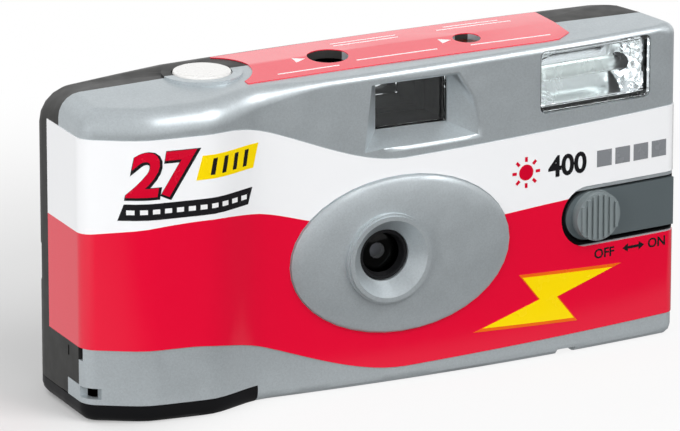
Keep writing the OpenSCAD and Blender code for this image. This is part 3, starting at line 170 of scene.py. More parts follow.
@dataclass(frozen=True)
class Finish:
    """A surface with a colour, a gloss and a fine relief.

    A subclass adds what its own material shows.
    """

    name: str
    colour: str
    roughness: float
    metallic: float = 0.0
    ior: float = 1.5
    specular: float = 0.5
    grain: float = 0.5
    depth: float = 0.004
    mottle: float = 6.0
    spread: float = 0.06
    touch: float = 3.5
    gloss_spread: float = 0.06
    least_gloss: float = 0.02
    coat: float = 0.0
    coat_roughness: float = 0.12

    def material(self) -> bpy.types.Material:
        """Gives the material, made the first time it is asked for."""
        return bpy.data.materials.get(self.name) or self.make()

    def make(self) -> bpy.types.Material:
        """Builds the material's nodes.

        Returns:
            The new material.
        """
        material = bpy.data.materials.new(self.name)
        material.use_nodes = True
        tree = material.node_tree
        shader = tree.nodes["Principled BSDF"]
        values = {"Metallic": self.metallic, "Roughness": self.roughness}
        if self.metallic < 1:
            values |= {"IOR": self.ior, "Specular IOR Level": self.specular}
        if self.coat:
            values |= {"Coat Weight": self.coat, "Coat Roughness": self.coat_roughness}
        for key, value in values.items():
            shader.inputs[key].default_value = value
        place = add(tree, "TexCoord", out="Object")
        tree.links.new(self.tint(tree, place), shader.inputs["Base Color"])
        tree.links.new(self.gloss(tree, place), shader.inputs["Roughness"])
        tree.links.new(self.relief(tree, place), shader.inputs["Normal"])
        self.extras(shader)
        return material

    def tint(self, tree: Nodes, place: Socket) -> Socket:
        """Gives the colour, varied a little, as pigment and handling do."""
        cloud = add(tree, "TexNoise", {"Scale": 1 / (self.mottle * MM), "Detail": 4.0}, {"Vector": place})
        return self.vary(tree, cloud)

    def vary(self, tree: Nodes, pattern: Socket) -> Socket:
        """Gives the colour, lightened and darkened by a pattern from 0 to 1."""
        shift = add(
            tree, "MapRange", {"To Min": 1 - self.spread, "To Max": 1 + self.spread}, {"Value": pattern}
        )
        return add(tree, "HueSaturation", {"Color": linear(self.colour)}, {"Value": shift})

    def gloss(self, tree: Nodes, place: Socket) -> Socket:
        """Varies the gloss, as touch and wear do.

        Args:
            tree: The material's nodes.
            place: The object coordinates.

        Returns:
            The roughness's socket.
        """
        cloud = add(tree, "TexNoise", {"Scale": 1 / (self.touch * MM), "Detail": 5.0}, {"Vector": place})
        low, high = NOISE_RANGE
        least = max(self.least_gloss, self.roughness - self.gloss_spread)
        most = self.roughness + self.gloss_spread
        levels = {"From Min": low, "From Max": high, "To Min": least, "To Max": most}
        return add(tree, "MapRange", levels, {"Value": cloud})

    def relief(self, tree: Nodes, place: Socket) -> Socket:
        """Gives the normal of the surface's fine relief."""
        grit = add(tree, "TexNoise", {"Scale": 1 / (self.grain * MM), "Detail": 3.0}, {"Vector": place})
        return add(tree, "Bump", {"Strength": 1.0, "Distance": self.depth * MM}, {"Height": grit})

    def extras(self, shader: bpy.types.Node) -> None:
        """Leaves the shader as it is."""


@dataclass(frozen=True)
class MetallicPaint(Finish):
    """Aluminium-flake lacquer sprayed on ABS: a soft metal sheen with a fine sparkle.

    Each row of slot is a direction, and where along it the shade painted into the slot behind the switch
    starts and is full.
    """

    flake: float = 0.28
    # The colour of the shade painted into the slot behind the switch
    bare: str = "#0E0E10"
    slot: tuple[tuple[Place, Point], ...] = (
        ((-0.1238, 1.0, 0.0), (-14.7, -14.5)),
        ((-0.1238, 1.0, 0.0), (-12.0, -12.2)),
        ((1.0, 0.0, 0.0), (34.4, 34.6)),
        ((0.0, 0.0, 1.0), (20.4, 20.6)),
        ((0.0, 0.0, 1.0), (30.95, 30.82)),
    )

    def tint(self, tree: Nodes, place: Socket) -> Socket:
        """Gives each flake its own brightness, drawn coarser than real ones, and paints shade into the
        slot behind the switch.

        Args:
            tree: The material's nodes.
            place: The object coordinates.

        Returns:
            The colour's socket.
        """
        cells = add(tree, "TexVoronoi", {"Scale": 1 / (self.flake * MM)}, {"Vector": place}, out="Color")
        # The flakes, with the painted shade laid over them inside the slot
        parts = {6: self.vary(tree, cells), 0: self.unpainted(tree, place)}
        return add(tree, "Mix", {"data_type": "RGBA", 7: linear(self.bare)}, parts, out=2)

    def unpainted(self, tree: Nodes, place: Socket) -> Socket:
        """Marks the slot behind the switch, where a dark shade is painted over the lacquer.

        Args:
            tree: The material's nodes.
            place: The object coordinates.

        Returns:
            The mark's socket, 1 inside the slot.
        """
        inside = None
        for way, (start, full) in self.slot:
            along = add(tree, "VectorMath", {"operation": "DOT_PRODUCT", 1: way}, {0: place}, out="Value")
            step = add(tree, "MapRange", {"From Min": start * MM, "From Max": full * MM}, {"Value": along})
            if inside:
                step = add(tree, "Math", {"operation": "MULTIPLY"}, {0: inside, 1: step})
            inside = step
        return inside


@dataclass(frozen=True)
class TwoFieldPrint(Finish):
    """Offset print under a clear film: two flat colours that meet in a wavy line along the front."""

    upper: str = "#FBFCFE"
    edge: tuple[Point, ...] = ()
    span: Point = (-59.7, 59.7)
    top: float = 60.0
    blur: float = 0.04

    def tint(self, tree: Nodes, place: Socket) -> Socket:
        """Puts the upper colour over the lower one, along the line of edge points.

        Args:
            tree: The material's nodes.
            place: The object coordinates.

        Returns:
            The colour's socket.
        """
        start, end = self.span
        parts = add(tree, "SeparateXYZ", None, {"Vector": place}).node.outputs
        ends = {"From Min": start * MM, "From Max": end * MM}
        along = add(tree, "MapRange", ends, {"Value": parts["X"]})
        line = add(tree, "FloatCurve", None, {"Value": along})
        curve = line.node.mapping.curves[0]
        marks = [((x - start) / (end - start), z / self.top) for x, z in self.edge]
        curve.points[0].location = marks[0]
        curve.points[1].location = marks[-1]
        for mark in marks[1:-1]:
            curve.points.new(*mark)
        line.node.mapping.update()
        drop = {"operation": "MULTIPLY_ADD", 1: -self.top * MM}
        height = add(tree, "Math", drop, {0: line, 2: parts["Z"]})
        seam = {"From Min": -self.blur * MM, "From Max": self.blur * MM}
        above = add(tree, "MapRange", seam, {"Value": height})
        inks = {"data_type": "RGBA", 6: linear(self.colour), 7: linear(self.upper)}
        return add(tree, "Mix", inks, {0: above}, out=2)


@dataclass(frozen=True)
class KnobbedPlastic(Finish):
    """Moulded ABS whose raised round knob is coloured paler than the plate that it stands on."""

    pale: str = "#80898B"
    knob_at: Point = (41.63, 25.9)
    knob: float = 4.85
    fade: float = 0.2

    def tint(self, tree: Nodes, place: Socket) -> Socket:
        """Puts the paler colour inside the knob's circle, seen from the front.

        Args:
            tree: The material's nodes.
            place: The object coordinates.

        Returns:
            The colour's socket.
        """
        parts = add(tree, "SeparateXYZ", None, {"Vector": place}).node.outputs
        flat = add(tree, "CombineXYZ", None, {"X": parts["X"], "Z": parts["Z"]})
        x, z = self.knob_at
        middle = {"operation": "DISTANCE", 1: (x * MM, 0, z * MM)}
        off = add(tree, "VectorMath", middle, {0: flat}, out="Value")
        rim = {"From Min": self.knob * MM, "From Max": (self.knob - self.fade) * MM}
        knob_mask = add(tree, "MapRange", rim, {"Value": off})
        greys = {"data_type": "RGBA", 6: linear(self.colour), 7: linear(self.pale)}
        return add(tree, "Mix", greys, {0: knob_mask}, out=2)


@dataclass(frozen=True)
class ClearPlastic(Finish):
    """Polished moulded acrylic: clear, with a sharp reflection and hardly any colour."""

    def extras(self, shader: bpy.types.Node) -> None:
        """Lets the light through."""
        shader.inputs["Transmission Weight"].default_value = 1.0


@dataclass(frozen=True)
class BrushedMetal(Finish):
    """Rolled or drawn metal: fine lines along one way that stretch the reflections."""

    stretch: Place = (1.0, 12.0, 12.0)
    length: float = 8.0

    def relief(self, tree: Nodes, place: Socket) -> Socket:
        """Draws fine lines along the rolling direction.

        Args:
            tree: The material's nodes.
            place: The object coordinates.

        Returns:
            The normal's socket.
        """
        along = add(tree, "Mapping", {"Scale": self.stretch}, {"Vector": place})
        size = {"Scale": 1 / (self.grain * self.length * MM), "Detail": 4.0}
        lines = add(tree, "TexNoise", size, {"Vector": along})
        return add(tree, "Bump", {"Strength": 1.0, "Distance": self.depth * MM}, {"Height": lines})


@dataclass(frozen=True)
class FlutedMirror(BrushedMetal):
    """Bright reflector foil, smooth along its trough and crimped into small facets at both ends."""

    middle: float = 41.75
    plain: float = 7.6
    ease: float = 0.4
    facet: float = 1.5
    crimp: float = 0.35

    def relief(self, tree: Nodes, place: Socket) -> Socket:
        """Crimps the ends.

        Args:
            tree: The material's nodes.
            place: The object coordinates.

        Returns:
            The normal's socket.
        """
        across = add(tree, "SeparateXYZ", None, {"Vector": place}, out="X")
        off = add(tree, "Math", {"operation": "SUBTRACT", 1: self.middle * MM}, {0: across})
        far = add(tree, "Math", {"operation": "ABSOLUTE"}, {0: off})
        turn = {"From Min": self.plain * MM, "From Max": (self.plain + self.ease) * MM}
        end = add(tree, "MapRange", turn, {"Value": far})
        cells = add(tree, "TexVoronoi", {"Scale": 1 / (self.facet * MM)}, {"Vector": place})
        return add(tree, "Bump", {"Distance": self.crimp * MM}, {"Height": cells, "Strength": end})


@dataclass(frozen=True)
class Wound(Finish):
    """Wire or film wound in layers: fine even lines round the winding."""

    pitch: float = 0.3
    axis: str = "Z"
    unevenness: float = 0.4

    def relief(self, tree: Nodes, place: Socket) -> Socket:
        """Draws one line for each turn of the winding.

        Args:
            tree: The material's nodes.
            place: The object coordinates.

        Returns:
            The normal's socket.
        """
        bands = {"Scale": WAVE_UNIT / (self.pitch * MM), "Distortion": self.unevenness}
        bands["bands_direction"] = self.axis
        turns = add(tree, "TexWave", bands, {"Vector": place}, out="Fac")
        return add(tree, "Bump", {"Strength": 1.0, "Distance": self.depth * MM}, {"Height": turns})


# Silver lacquer on the front cover: a cool light grey with a soft sheen, and painted shade in the slot
# behind the switch
SILVER = MetallicPaint("silver_lacquer_on_abs", "#CBD3D7", 0.37, 0.58, grain=1.1, depth=0.004, spread=0.06)
# ABS moulded in a spark-eroded tool: dark grey, dull, with an even grain drawn coarser than the real one
SHELL = Finish("grained_grey_abs", "#323231", 0.46, specular=0.3, grain=0.42, depth=0.014, mottle=9)
# The film door: the shell's grained ABS, coloured nearly black as painted shade, and a little glossier
DOOR = Finish("grained_black_abs", "#101012", 0.42, specular=0.2, grain=0.42, depth=0.012, mottle=9)
# Gloss paper labels under a clear film: flat colours below a sharp shine
WRAP = TwoFieldPrint(
    "laminated_paper_two_colours", "#EA0033", 0.16, coat=1.0, grain=5.0, depth=0.02, gloss_spread=0.05,
    edge=(
        (-59.6, 34.8), (-51.3, 35.8), (-43.6, 36.5), (-36.0, 36.6), (-30.0, 35.9),
        (-24.0, 34.8), (-16.8, 32.8), (-8.0, 30.4), (2.0, 28.6), (12.0, 28.2),
        (22.8, 28.9), (30.0, 29.4), (35.5, 29.7), (59.6, 31.1),
    ),
)
TOP_PRINT = Finish(
    "laminated_paper_red", "#EA0033", 0.16, coat=1.0, grain=5.0, depth=0.02, spread=0.03, gloss_spread=0.05
)
# Black polystyrene of the inner mouldings: satin and light-tight
BLACK = Finish("black_polystyrene", "#161618", 0.42, grain=0.6, depth=0.008)
# The baffles round the light's way: a black that hardly shines
MATT_BLACK = Finish("matt_black_baffle", "#0B0B0C", 0.75, grain=0.4, depth=0.012, specular=0.2)
# Polished acrylic of the windows and the lens: clear, with sharp reflections
ACRYLIC = ClearPlastic(
    "polished_acrylic", "#F6FAFB", 0.03, ior=1.49, depth=0.0005, spread=0.01, gloss_spread=0.01
)
LENS = ClearPlastic(
    "acrylic_meniscus_lens", "#EEF2F8", 0.02, ior=1.49, depth=0.0003, spread=0.01, gloss_spread=0.01
)
# Pearl ABS of the button and the counter dial: a soft white under a thin gloss
PEARL = Finish("pearl_white_abs", "#E9E8E6", 0.28, grain=1.5, depth=0.003, spread=0.03, coat=0.3)
# Satin ABS of the switch: mid grey, with a paler knob
SWITCH = KnobbedPlastic("satin_grey_abs", "#586164", 0.4, grain=0.5, depth=0.008)
# Natural acetal of the small gears and levers: creamy, with a waxy shine
ACETAL = Finish("natural_acetal", "#DCD7C8", 0.38, grain=0.8, depth=0.004)
# Drawn spring wire: bright grey, with lines along it
STEEL = BrushedMetal("spring_steel_wire", "#B9BBBD", 0.28, 1.0, grain=0.2, depth=0.002)
# Blackened shim of the shutter blade: a dark metal that shines little
BLADE = BrushedMetal("blackened_steel_shim", "#3B3C40", 0.36, 1.0, grain=0.2, depth=0.002)
# Rolled brass of the contacts: a warm metal with fine lines
BRASS = BrushedMetal("rolled_brass_strip", "#C9A862", 0.3, 1.0, grain=0.25, depth=0.002)
# Lacquered tinplate of the cartridge: golden, with lines up its height
TIN = BrushedMetal("lacquered_tinplate", "#C79A3A", 0.3, 0.85, grain=0.3, depth=0.002, stretch=(12, 12, 1))
# Film on its acetate base: brown and glossy, with an edge line for each turn
FILM = Wound("acetate_film_base", "#5B4A38", 0.24, depth=0.01, pitch=0.32)
# Reflector foil: bright, and its crimped ends break the reflection up
MIRROR = FlutedMirror("bright_aluminium_reflector", "#F8F9FA", 0.12, 1.0, grain=0.3, depth=0.002)
# Frosted glass of the flash tube: a milky clear rod
TUBE = ClearPlastic("frosted_xenon_tube", "#F3F6F4", 0.28, ior=1.47, depth=0.001, spread=0.01)
# Phenolic board under solder resist: a mottled green
BOARD = Finish(
    "solder_resist_on_phenolic", "#1F5A38", 0.34, grain=0.9, depth=0.02, mottle=2.0, spread=0.18
)
# Vinyl sleeve shrunk on the capacitor: a smooth dark blue
SLEEVE = Finish("shrunk_vinyl_sleeve", "#22345C", 0.3, grain=2.0, depth=0.01)
# Pressed ferrite: dull, dark and gritty
FERRITE = Finish("pressed_ferrite", "#3B3733", 0.62, grain=0.35, depth=0.02)
# Enamelled wire of the trigger coil: copper lines, one for each turn
COPPER = Wound("enamelled_copper_wire", "#A8643A", 0.3, 0.9, depth=0.03, pitch=0.28, axis="X")
# Glass of the neon lamp and acrylic of its light pipe: clear orange
NEON = ClearPlastic("neon_lamp_glass", "#F2A45A", 0.1, ior=1.47, depth=0.001)
AMBER = ClearPlastic("amber_acrylic", "#D9541E", 0.14, ior=1.49, depth=0.001)
# Printed film round the battery: dark, with a slight metal sheen
WRAPPER = Finish("printed_battery_film", "#2E3038", 0.28, 0.25, grain=2.5, depth=0.006)
# Inks of the printed marks: thin and flat, a little glossy
INK_RED = Finish("red_ink", "#D3002B", 0.24, grain=3.0, depth=0.006, spread=0.03)
INK_DARK = Finish("black_ink", "#1B1A1D", 0.26, grain=3.0, depth=0.006, spread=0.05)
INK_GREY = Finish("grey_ink", "#85888C", 0.26, grain=3.0, depth=0.006, spread=0.04)
INK_YELLOW = Finish("yellow_ink", "#FFDE00", 0.24, grain=3.0, depth=0.006, spread=0.02)
INK_ORANGE = Finish("orange_ink", "#F06A12", 0.24, grain=3.0, depth=0.006, spread=0.03)
INK_WHITE = Finish("white_ink", "#F3F3F4", 0.26, grain=3.0, depth=0.006, spread=0.02)


def choose(piece: Piece) -> None:
    """Makes a piece the only selected one, and the active one."""
    bpy.ops.object.select_all(action="DESELECT")
    piece.select_set(True)
    bpy.context.view_layer.objects.active = piece


def smooth(piece: Piece, angle: float) -> None:
    """Shades a piece smooth over edges flatter than the angle in degrees, and keeps its flats flat.

    Args:
        piece: The mesh object.
        angle: The widest angle that still looks round.
    """
    choose(piece)
    bpy.ops.object.shade_smooth_by_angle(angle=math.radians(angle))
    even = piece.modifiers.new("even_normals", "WEIGHTED_NORMAL")
    even.keep_sharp = True
    even.mode = "FACE_AREA_WITH_ANGLE"
    bpy.ops.object.modifier_apply(modifier=even.name)


def skin(frame: dict, node: str, angle: float = 30.0, bevel: float = 0.0) -> Piece:
    """Copies a solid's mesh, merged and smoothly shaded.

    Args:
        frame: The loaded frame.
        node: The solid's name.
        angle: The widest angle in degrees that still looks round.
        bevel: The width in millimetres of a bevel along the sharp edges, or 0.

    Returns:
        The new piece.
    """
    piece = bpy.data.objects.new(node + "_skin", frame["nodes"][node].data.copy())
    bpy.context.scene.collection.objects.link(piece)
    choose(piece)
    bpy.ops.object.mode_set(mode="EDIT")
    bpy.ops.mesh.select_all(action="SELECT")
    bpy.ops.mesh.customdata_custom_splitnormals_clear()
    bpy.ops.mesh.remove_doubles(threshold=SOLID_MERGE * MM)
    bpy.ops.mesh.dissolve_limited(angle_limit=math.radians(FLAT))
    bpy.ops.object.mode_set(mode="OBJECT")
    if bevel:
        edge = piece.modifiers.new("soft_edges", "BEVEL")
        edge.width = bevel * MM
        edge.segments = 2
        edge.limit_method = "ANGLE"
        edge.angle_limit = math.radians(SHARP)
        bpy.ops.object.modifier_apply(modifier=edge.name)
    smooth(piece, angle)
    return piece


def seat(piece: Piece, body: Body, slot: Slot, finish: Finish, *nodes: str) -> Piece:
    """Gives a piece its finish and the body that it moves with.

    Args:
        piece: The mesh object.
        body: The body that it rides on.
        slot: The record's material slot, not used.
        finish: Its finish.
        nodes: The solids that it stands for.

    Returns:
        The same piece.
    """
    piece.data.materials.clear()
    piece.data.materials.append(finish.material())
    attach(piece, body.value)
    if nodes:
        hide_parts(*nodes)
    LOG.info("%s rides on %s", piece.name, body.value)
    return piece


@dataclass
class Assembly:
    """A sub-assembly, which copies or dresses solids of the loaded frame."""

    frame: dict

    def stand_in(
        self,
        node: str,
        slot: Slot,
        finish: Finish,
        angle: float = 30.0,
        bevel: float = 0.0,
        body: Body = Body.CAMERA,
    ) -> Piece:
        """Makes a smooth copy of a solid that stands for it, with the arguments of skin and seat."""
        return seat(skin(self.frame, node, angle, bevel), body, slot, finish, node)

    def dress(self, finish: Finish, *nodes: str) -> None:
        """Puts a finish on solids that stay as they are.

        Args:
            finish: The finish.
            nodes: The solids' names.
        """
        for node in nodes:
            piece = self.frame["nodes"][node]
            if not piece.material_slots:
                piece.data.materials.append(finish.material())
            for place in piece.material_slots:
                place.material = finish.material()
            LOG.info("%s gets %s", node, finish.name)


def block(width: float, height: float) -> list[Point]:
    """Gives the corners of a rectangle about its middle."""
    x, y = width / 2, height / 2
    return [(-x, -y), (x, -y), (x, y), (-x, y)]


@dataclass
class Printer:
    """Prints thin marks onto a curved surface.

    A mark is drawn flat, cut into strips that follow the curve, given the ink's thickness and laid on
    the surface. Where its edge just misses that, the place nearest to the guess is taken.
    """

    ground: Piece
    facing: Facing
    body: Body
    slot: Slot
    proud: float = 0.045
    sunk: float = 0.05
    layer: float = 0.03
    bend: float = 20.0
    outside: float = 100.0
    front_guess: float = -12.0
    top_guess: float = 60.0
    tree: BVHTree = field(init=False)
    joints: list[float] = field(init=False)

    def __post_init__(self) -> None:
        """Keeps a search tree of the surface that takes the print, and where its flats meet."""
        self.tree = BVHTree.FromObject(self.ground, bpy.context.evaluated_depsgraph_get())
        self.joints = sorted({round(v.co.x, 5) for v in self.ground.data.vertices})

    def words(
        self,
        name: str,
        text: str,
        at: Point,
        size: float,
        finish: Finish,
        bold: float = 0.0,
        slant: float = 0.0,
        level: int = 0,
    ) -> Piece:
        """Prints plain figures or letters.

        Args:
            name: The piece's name.
            text: What is printed.
            at: The middle of the text's foot, in millimetres across and up.
            size: The text's size in millimetres.
            finish: The ink.
            bold: How far each stroke is thickened.
            slant: How far the text leans.
            level: How many layers of ink lie under it.

        Returns:
            The printed piece.
        """
        bpy.ops.object.select_all(action="DESELECT")
        bpy.ops.object.text_add(location=(0, 0, 0))
        letters = bpy.context.object.data
        letters.body = text
        letters.size = size * MM
        letters.align_x = "CENTER"
        letters.offset = bold * MM
        letters.shear = slant
        letters.resolution_u = 4
        bpy.ops.object.convert(target="MESH")
        piece = bpy.context.object
        piece.name = name
        return self.lay(piece, at, finish, level)

    def shape(
        self,
        name: str,
        outline: list[Point],
        at: Point,
        finish: Finish,
        turn: float = 0.0,
        grow: float = 1.0,
        level: int = 0,
    ) -> Piece:
        """Prints one flat shape.

        Args:
            name: The piece's name.
            outline: Its corners in millimetres, counter-clockwise.
            at: Where its own zero lies.
            finish: The ink.
            turn: How far it is turned, in degrees.
            grow: A factor on its size.
            level: How many layers of ink lie under it.

        Returns:
            The printed piece.
        """
        bpy.ops.object.select_all(action="DESELECT")
        bpy.ops.mesh.primitive_circle_add(vertices=len(outline), radius=MM, fill_type="NGON")
        piece = bpy.context.object
        piece.name = name
        swing = Matrix.Rotation(math.radians(turn), 2)
        for corner, place in zip(piece.data.vertices, outline):
            spot = swing @ (Vector(place) * grow * MM)
            corner.co = (spot.x, spot.y, 0)
        choose(piece)
        bpy.ops.object.mode_set(mode="EDIT")
        bpy.ops.mesh.select_all(action="SELECT")
        bpy.ops.mesh.normals_make_consistent(inside=False)
        bpy.ops.mesh.quads_convert_to_tris()
        bpy.ops.object.mode_set(mode="OBJECT")
        return self.lay(piece, at, finish, level)

    def row(
        self,
        name: str,
        outline: list[Point],
        first: Point,
        step: float,
        count: int,
        finish: Finish,
        level: int = 0,
    ) -> None:
        """Prints equal shapes side by side.

        Args:
            name: The pieces' name, before their number.
            outline: The corners of one, in millimetres.
            first: Where the first one's zero lies.
            step: How far apart they stand.
            count: How many there are.
            finish: The ink.
            level: How many layers of ink lie under them.
        """
        for k in range(count):
            self.shape(f"{name}_{k}", outline, (first[0] + step * k, first[1]), finish, level=level)

    def lay(self, piece: Piece, at: Point, finish: Finish, level: int) -> Piece:
        """Lays a flat mark on the surface.

        Args:
            piece: The flat mark, drawn in its own XY plane.
            at: Where its zero goes, in millimetres.
            finish: The ink.
            level: How many layers of ink lie under it.

        Returns:
            The printed piece.
        """
        piece.data.transform(Matrix.Translation((at[0] * MM, at[1] * MM, 0)))
        self.thicken(piece)
        lift = (self.proud + self.layer * level) * MM
        for corner in piece.data.vertices:
            across, up, over = corner.co
            ground = self.meet(across, up)
            if self.facing is Facing.FRONT:
                corner.co = (across, ground.y - lift - over, up)
            else:
                corner.co = (across, up, ground.z + lift + over)
        smooth(piece, self.bend)
        return seat(piece, self.body, self.slot, finish)

    def thicken(self, piece: Piece) -> None:
        """Cuts a flat mark where the surface's flats meet, and gives it the ink's thickness.

        Args:
            piece: The flat mark at its place in the XY plane.
        """
        choose(piece)
        low = min(v.co.x for v in piece.data.vertices)
        high = max(v.co.x for v in piece.data.vertices)
        bpy.ops.object.mode_set(mode="EDIT")
        bpy.ops.mesh.select_all(action="SELECT")
        bpy.ops.mesh.remove_doubles(threshold=MARK_MERGE * MM)
        for joint in self.joints:
            if low < joint < high:
                bpy.ops.mesh.select_all(action="SELECT")
                bpy.ops.mesh.bisect(plane_co=(joint, 0, 0), plane_no=(1, 0, 0))
        bpy.ops.mesh.select_all(action="SELECT")
        bpy.ops.mesh.extrude_region_move(
            TRANSFORM_OT_translate={"value": (0, 0, -(self.proud + self.sunk) * MM)}
        )
        bpy.ops.mesh.select_all(action="SELECT")
        bpy.ops.mesh.normals_make_consistent(inside=False)
        bpy.ops.object.mode_set(mode="OBJECT")

    def meet(self, across: float, up: float) -> Vector:
        """Finds the surface under a point of the flat mark.

        Args:
            across: How far across the point lies, in metres.
            up: How far up it lies, or back on the top, in metres.

        Returns:
            The place on the surface.
        """
        if self.facing is Facing.FRONT:
            start, way = Vector((across, -self.outside * MM, up)), Vector((0, 1, 0))
            guess = Vector((across, self.front_guess * MM, up))
        else:
            start, way = Vector((across, up, self.outside * MM)), Vector((0, 0, -1))
            guess = Vector((across, up, self.top_guess * MM))
        hit = self.tree.ray_cast(start, way)[0]
        return hit or self.tree.find_nearest(guess)[0]


@dataclass
class Covers(Assembly):
    """Front cover, rear cover and film door.

    The rim of the viewfinder's funnel lies in the box from rim_low to rim_high.
    """

    rim_low: Place = (-2.1, -12.1, 43.9)
    rim_high: Place = (17.8, -11.1, 56.5)
    rim_width: float = 0.5
    rim_steps: int = 3
    bend: float = 30.0

    def build(self) -> None:
        """Builds the three shells and dresses them."""
        front = skin(self.frame, "front_cover", self.bend)
        self.soften(front)
        seat(front, Body.CAMERA, Slot.SILVER, SILVER, "front_cover")
        self.stand_in("rear_cover", Slot.SHELL, SHELL, self.bend)
        self.stand_in("film_door", Slot.SHELL, DOOR, self.bend, body=Body.DOOR)

    def on_rim(self, piece: Piece, edge: bpy.types.MeshEdge) -> bool:
        """Tells whether both ends of an edge lie in the rim's box."""
        ends = [piece.data.vertices[k].co / MM for k in edge.vertices]
        return all(a <= c <= b for end in ends for a, c, b in zip(self.rim_low, end, self.rim_high))

    def soften(self, piece: Piece) -> None:
        """Rounds the sharp rim of the viewfinder's funnel.

        Args:
            piece: The front cover's piece.
        """
        choose(piece)
        bpy.ops.object.mode_set(mode="EDIT")
        bpy.ops.mesh.select_mode(type="EDGE")
        bpy.ops.mesh.select_all(action="DESELECT")
        bpy.ops.mesh.edges_select_sharp(sharpness=math.radians(SHARP))
        bpy.ops.object.mode_set(mode="OBJECT")
        rim = [edge.index for edge in piece.data.edges if edge.select and self.on_rim(piece, edge)]
        bpy.ops.object.mode_set(mode="EDIT")
        bpy.ops.mesh.select_all(action="DESELECT")
        bpy.ops.object.mode_set(mode="OBJECT")
        for k in rim:
            piece.data.edges[k].select = True
        bpy.ops.object.mode_set(mode="EDIT")
        bpy.ops.mesh.bevel(
            offset=self.rim_width * MM, segments=self.rim_steps, affect="EDGES", clamp_overlap=False
        )
        bpy.ops.mesh.select_mode(type="VERT")
        bpy.ops.object.mode_set(mode="OBJECT")
        smooth(piece, self.bend)


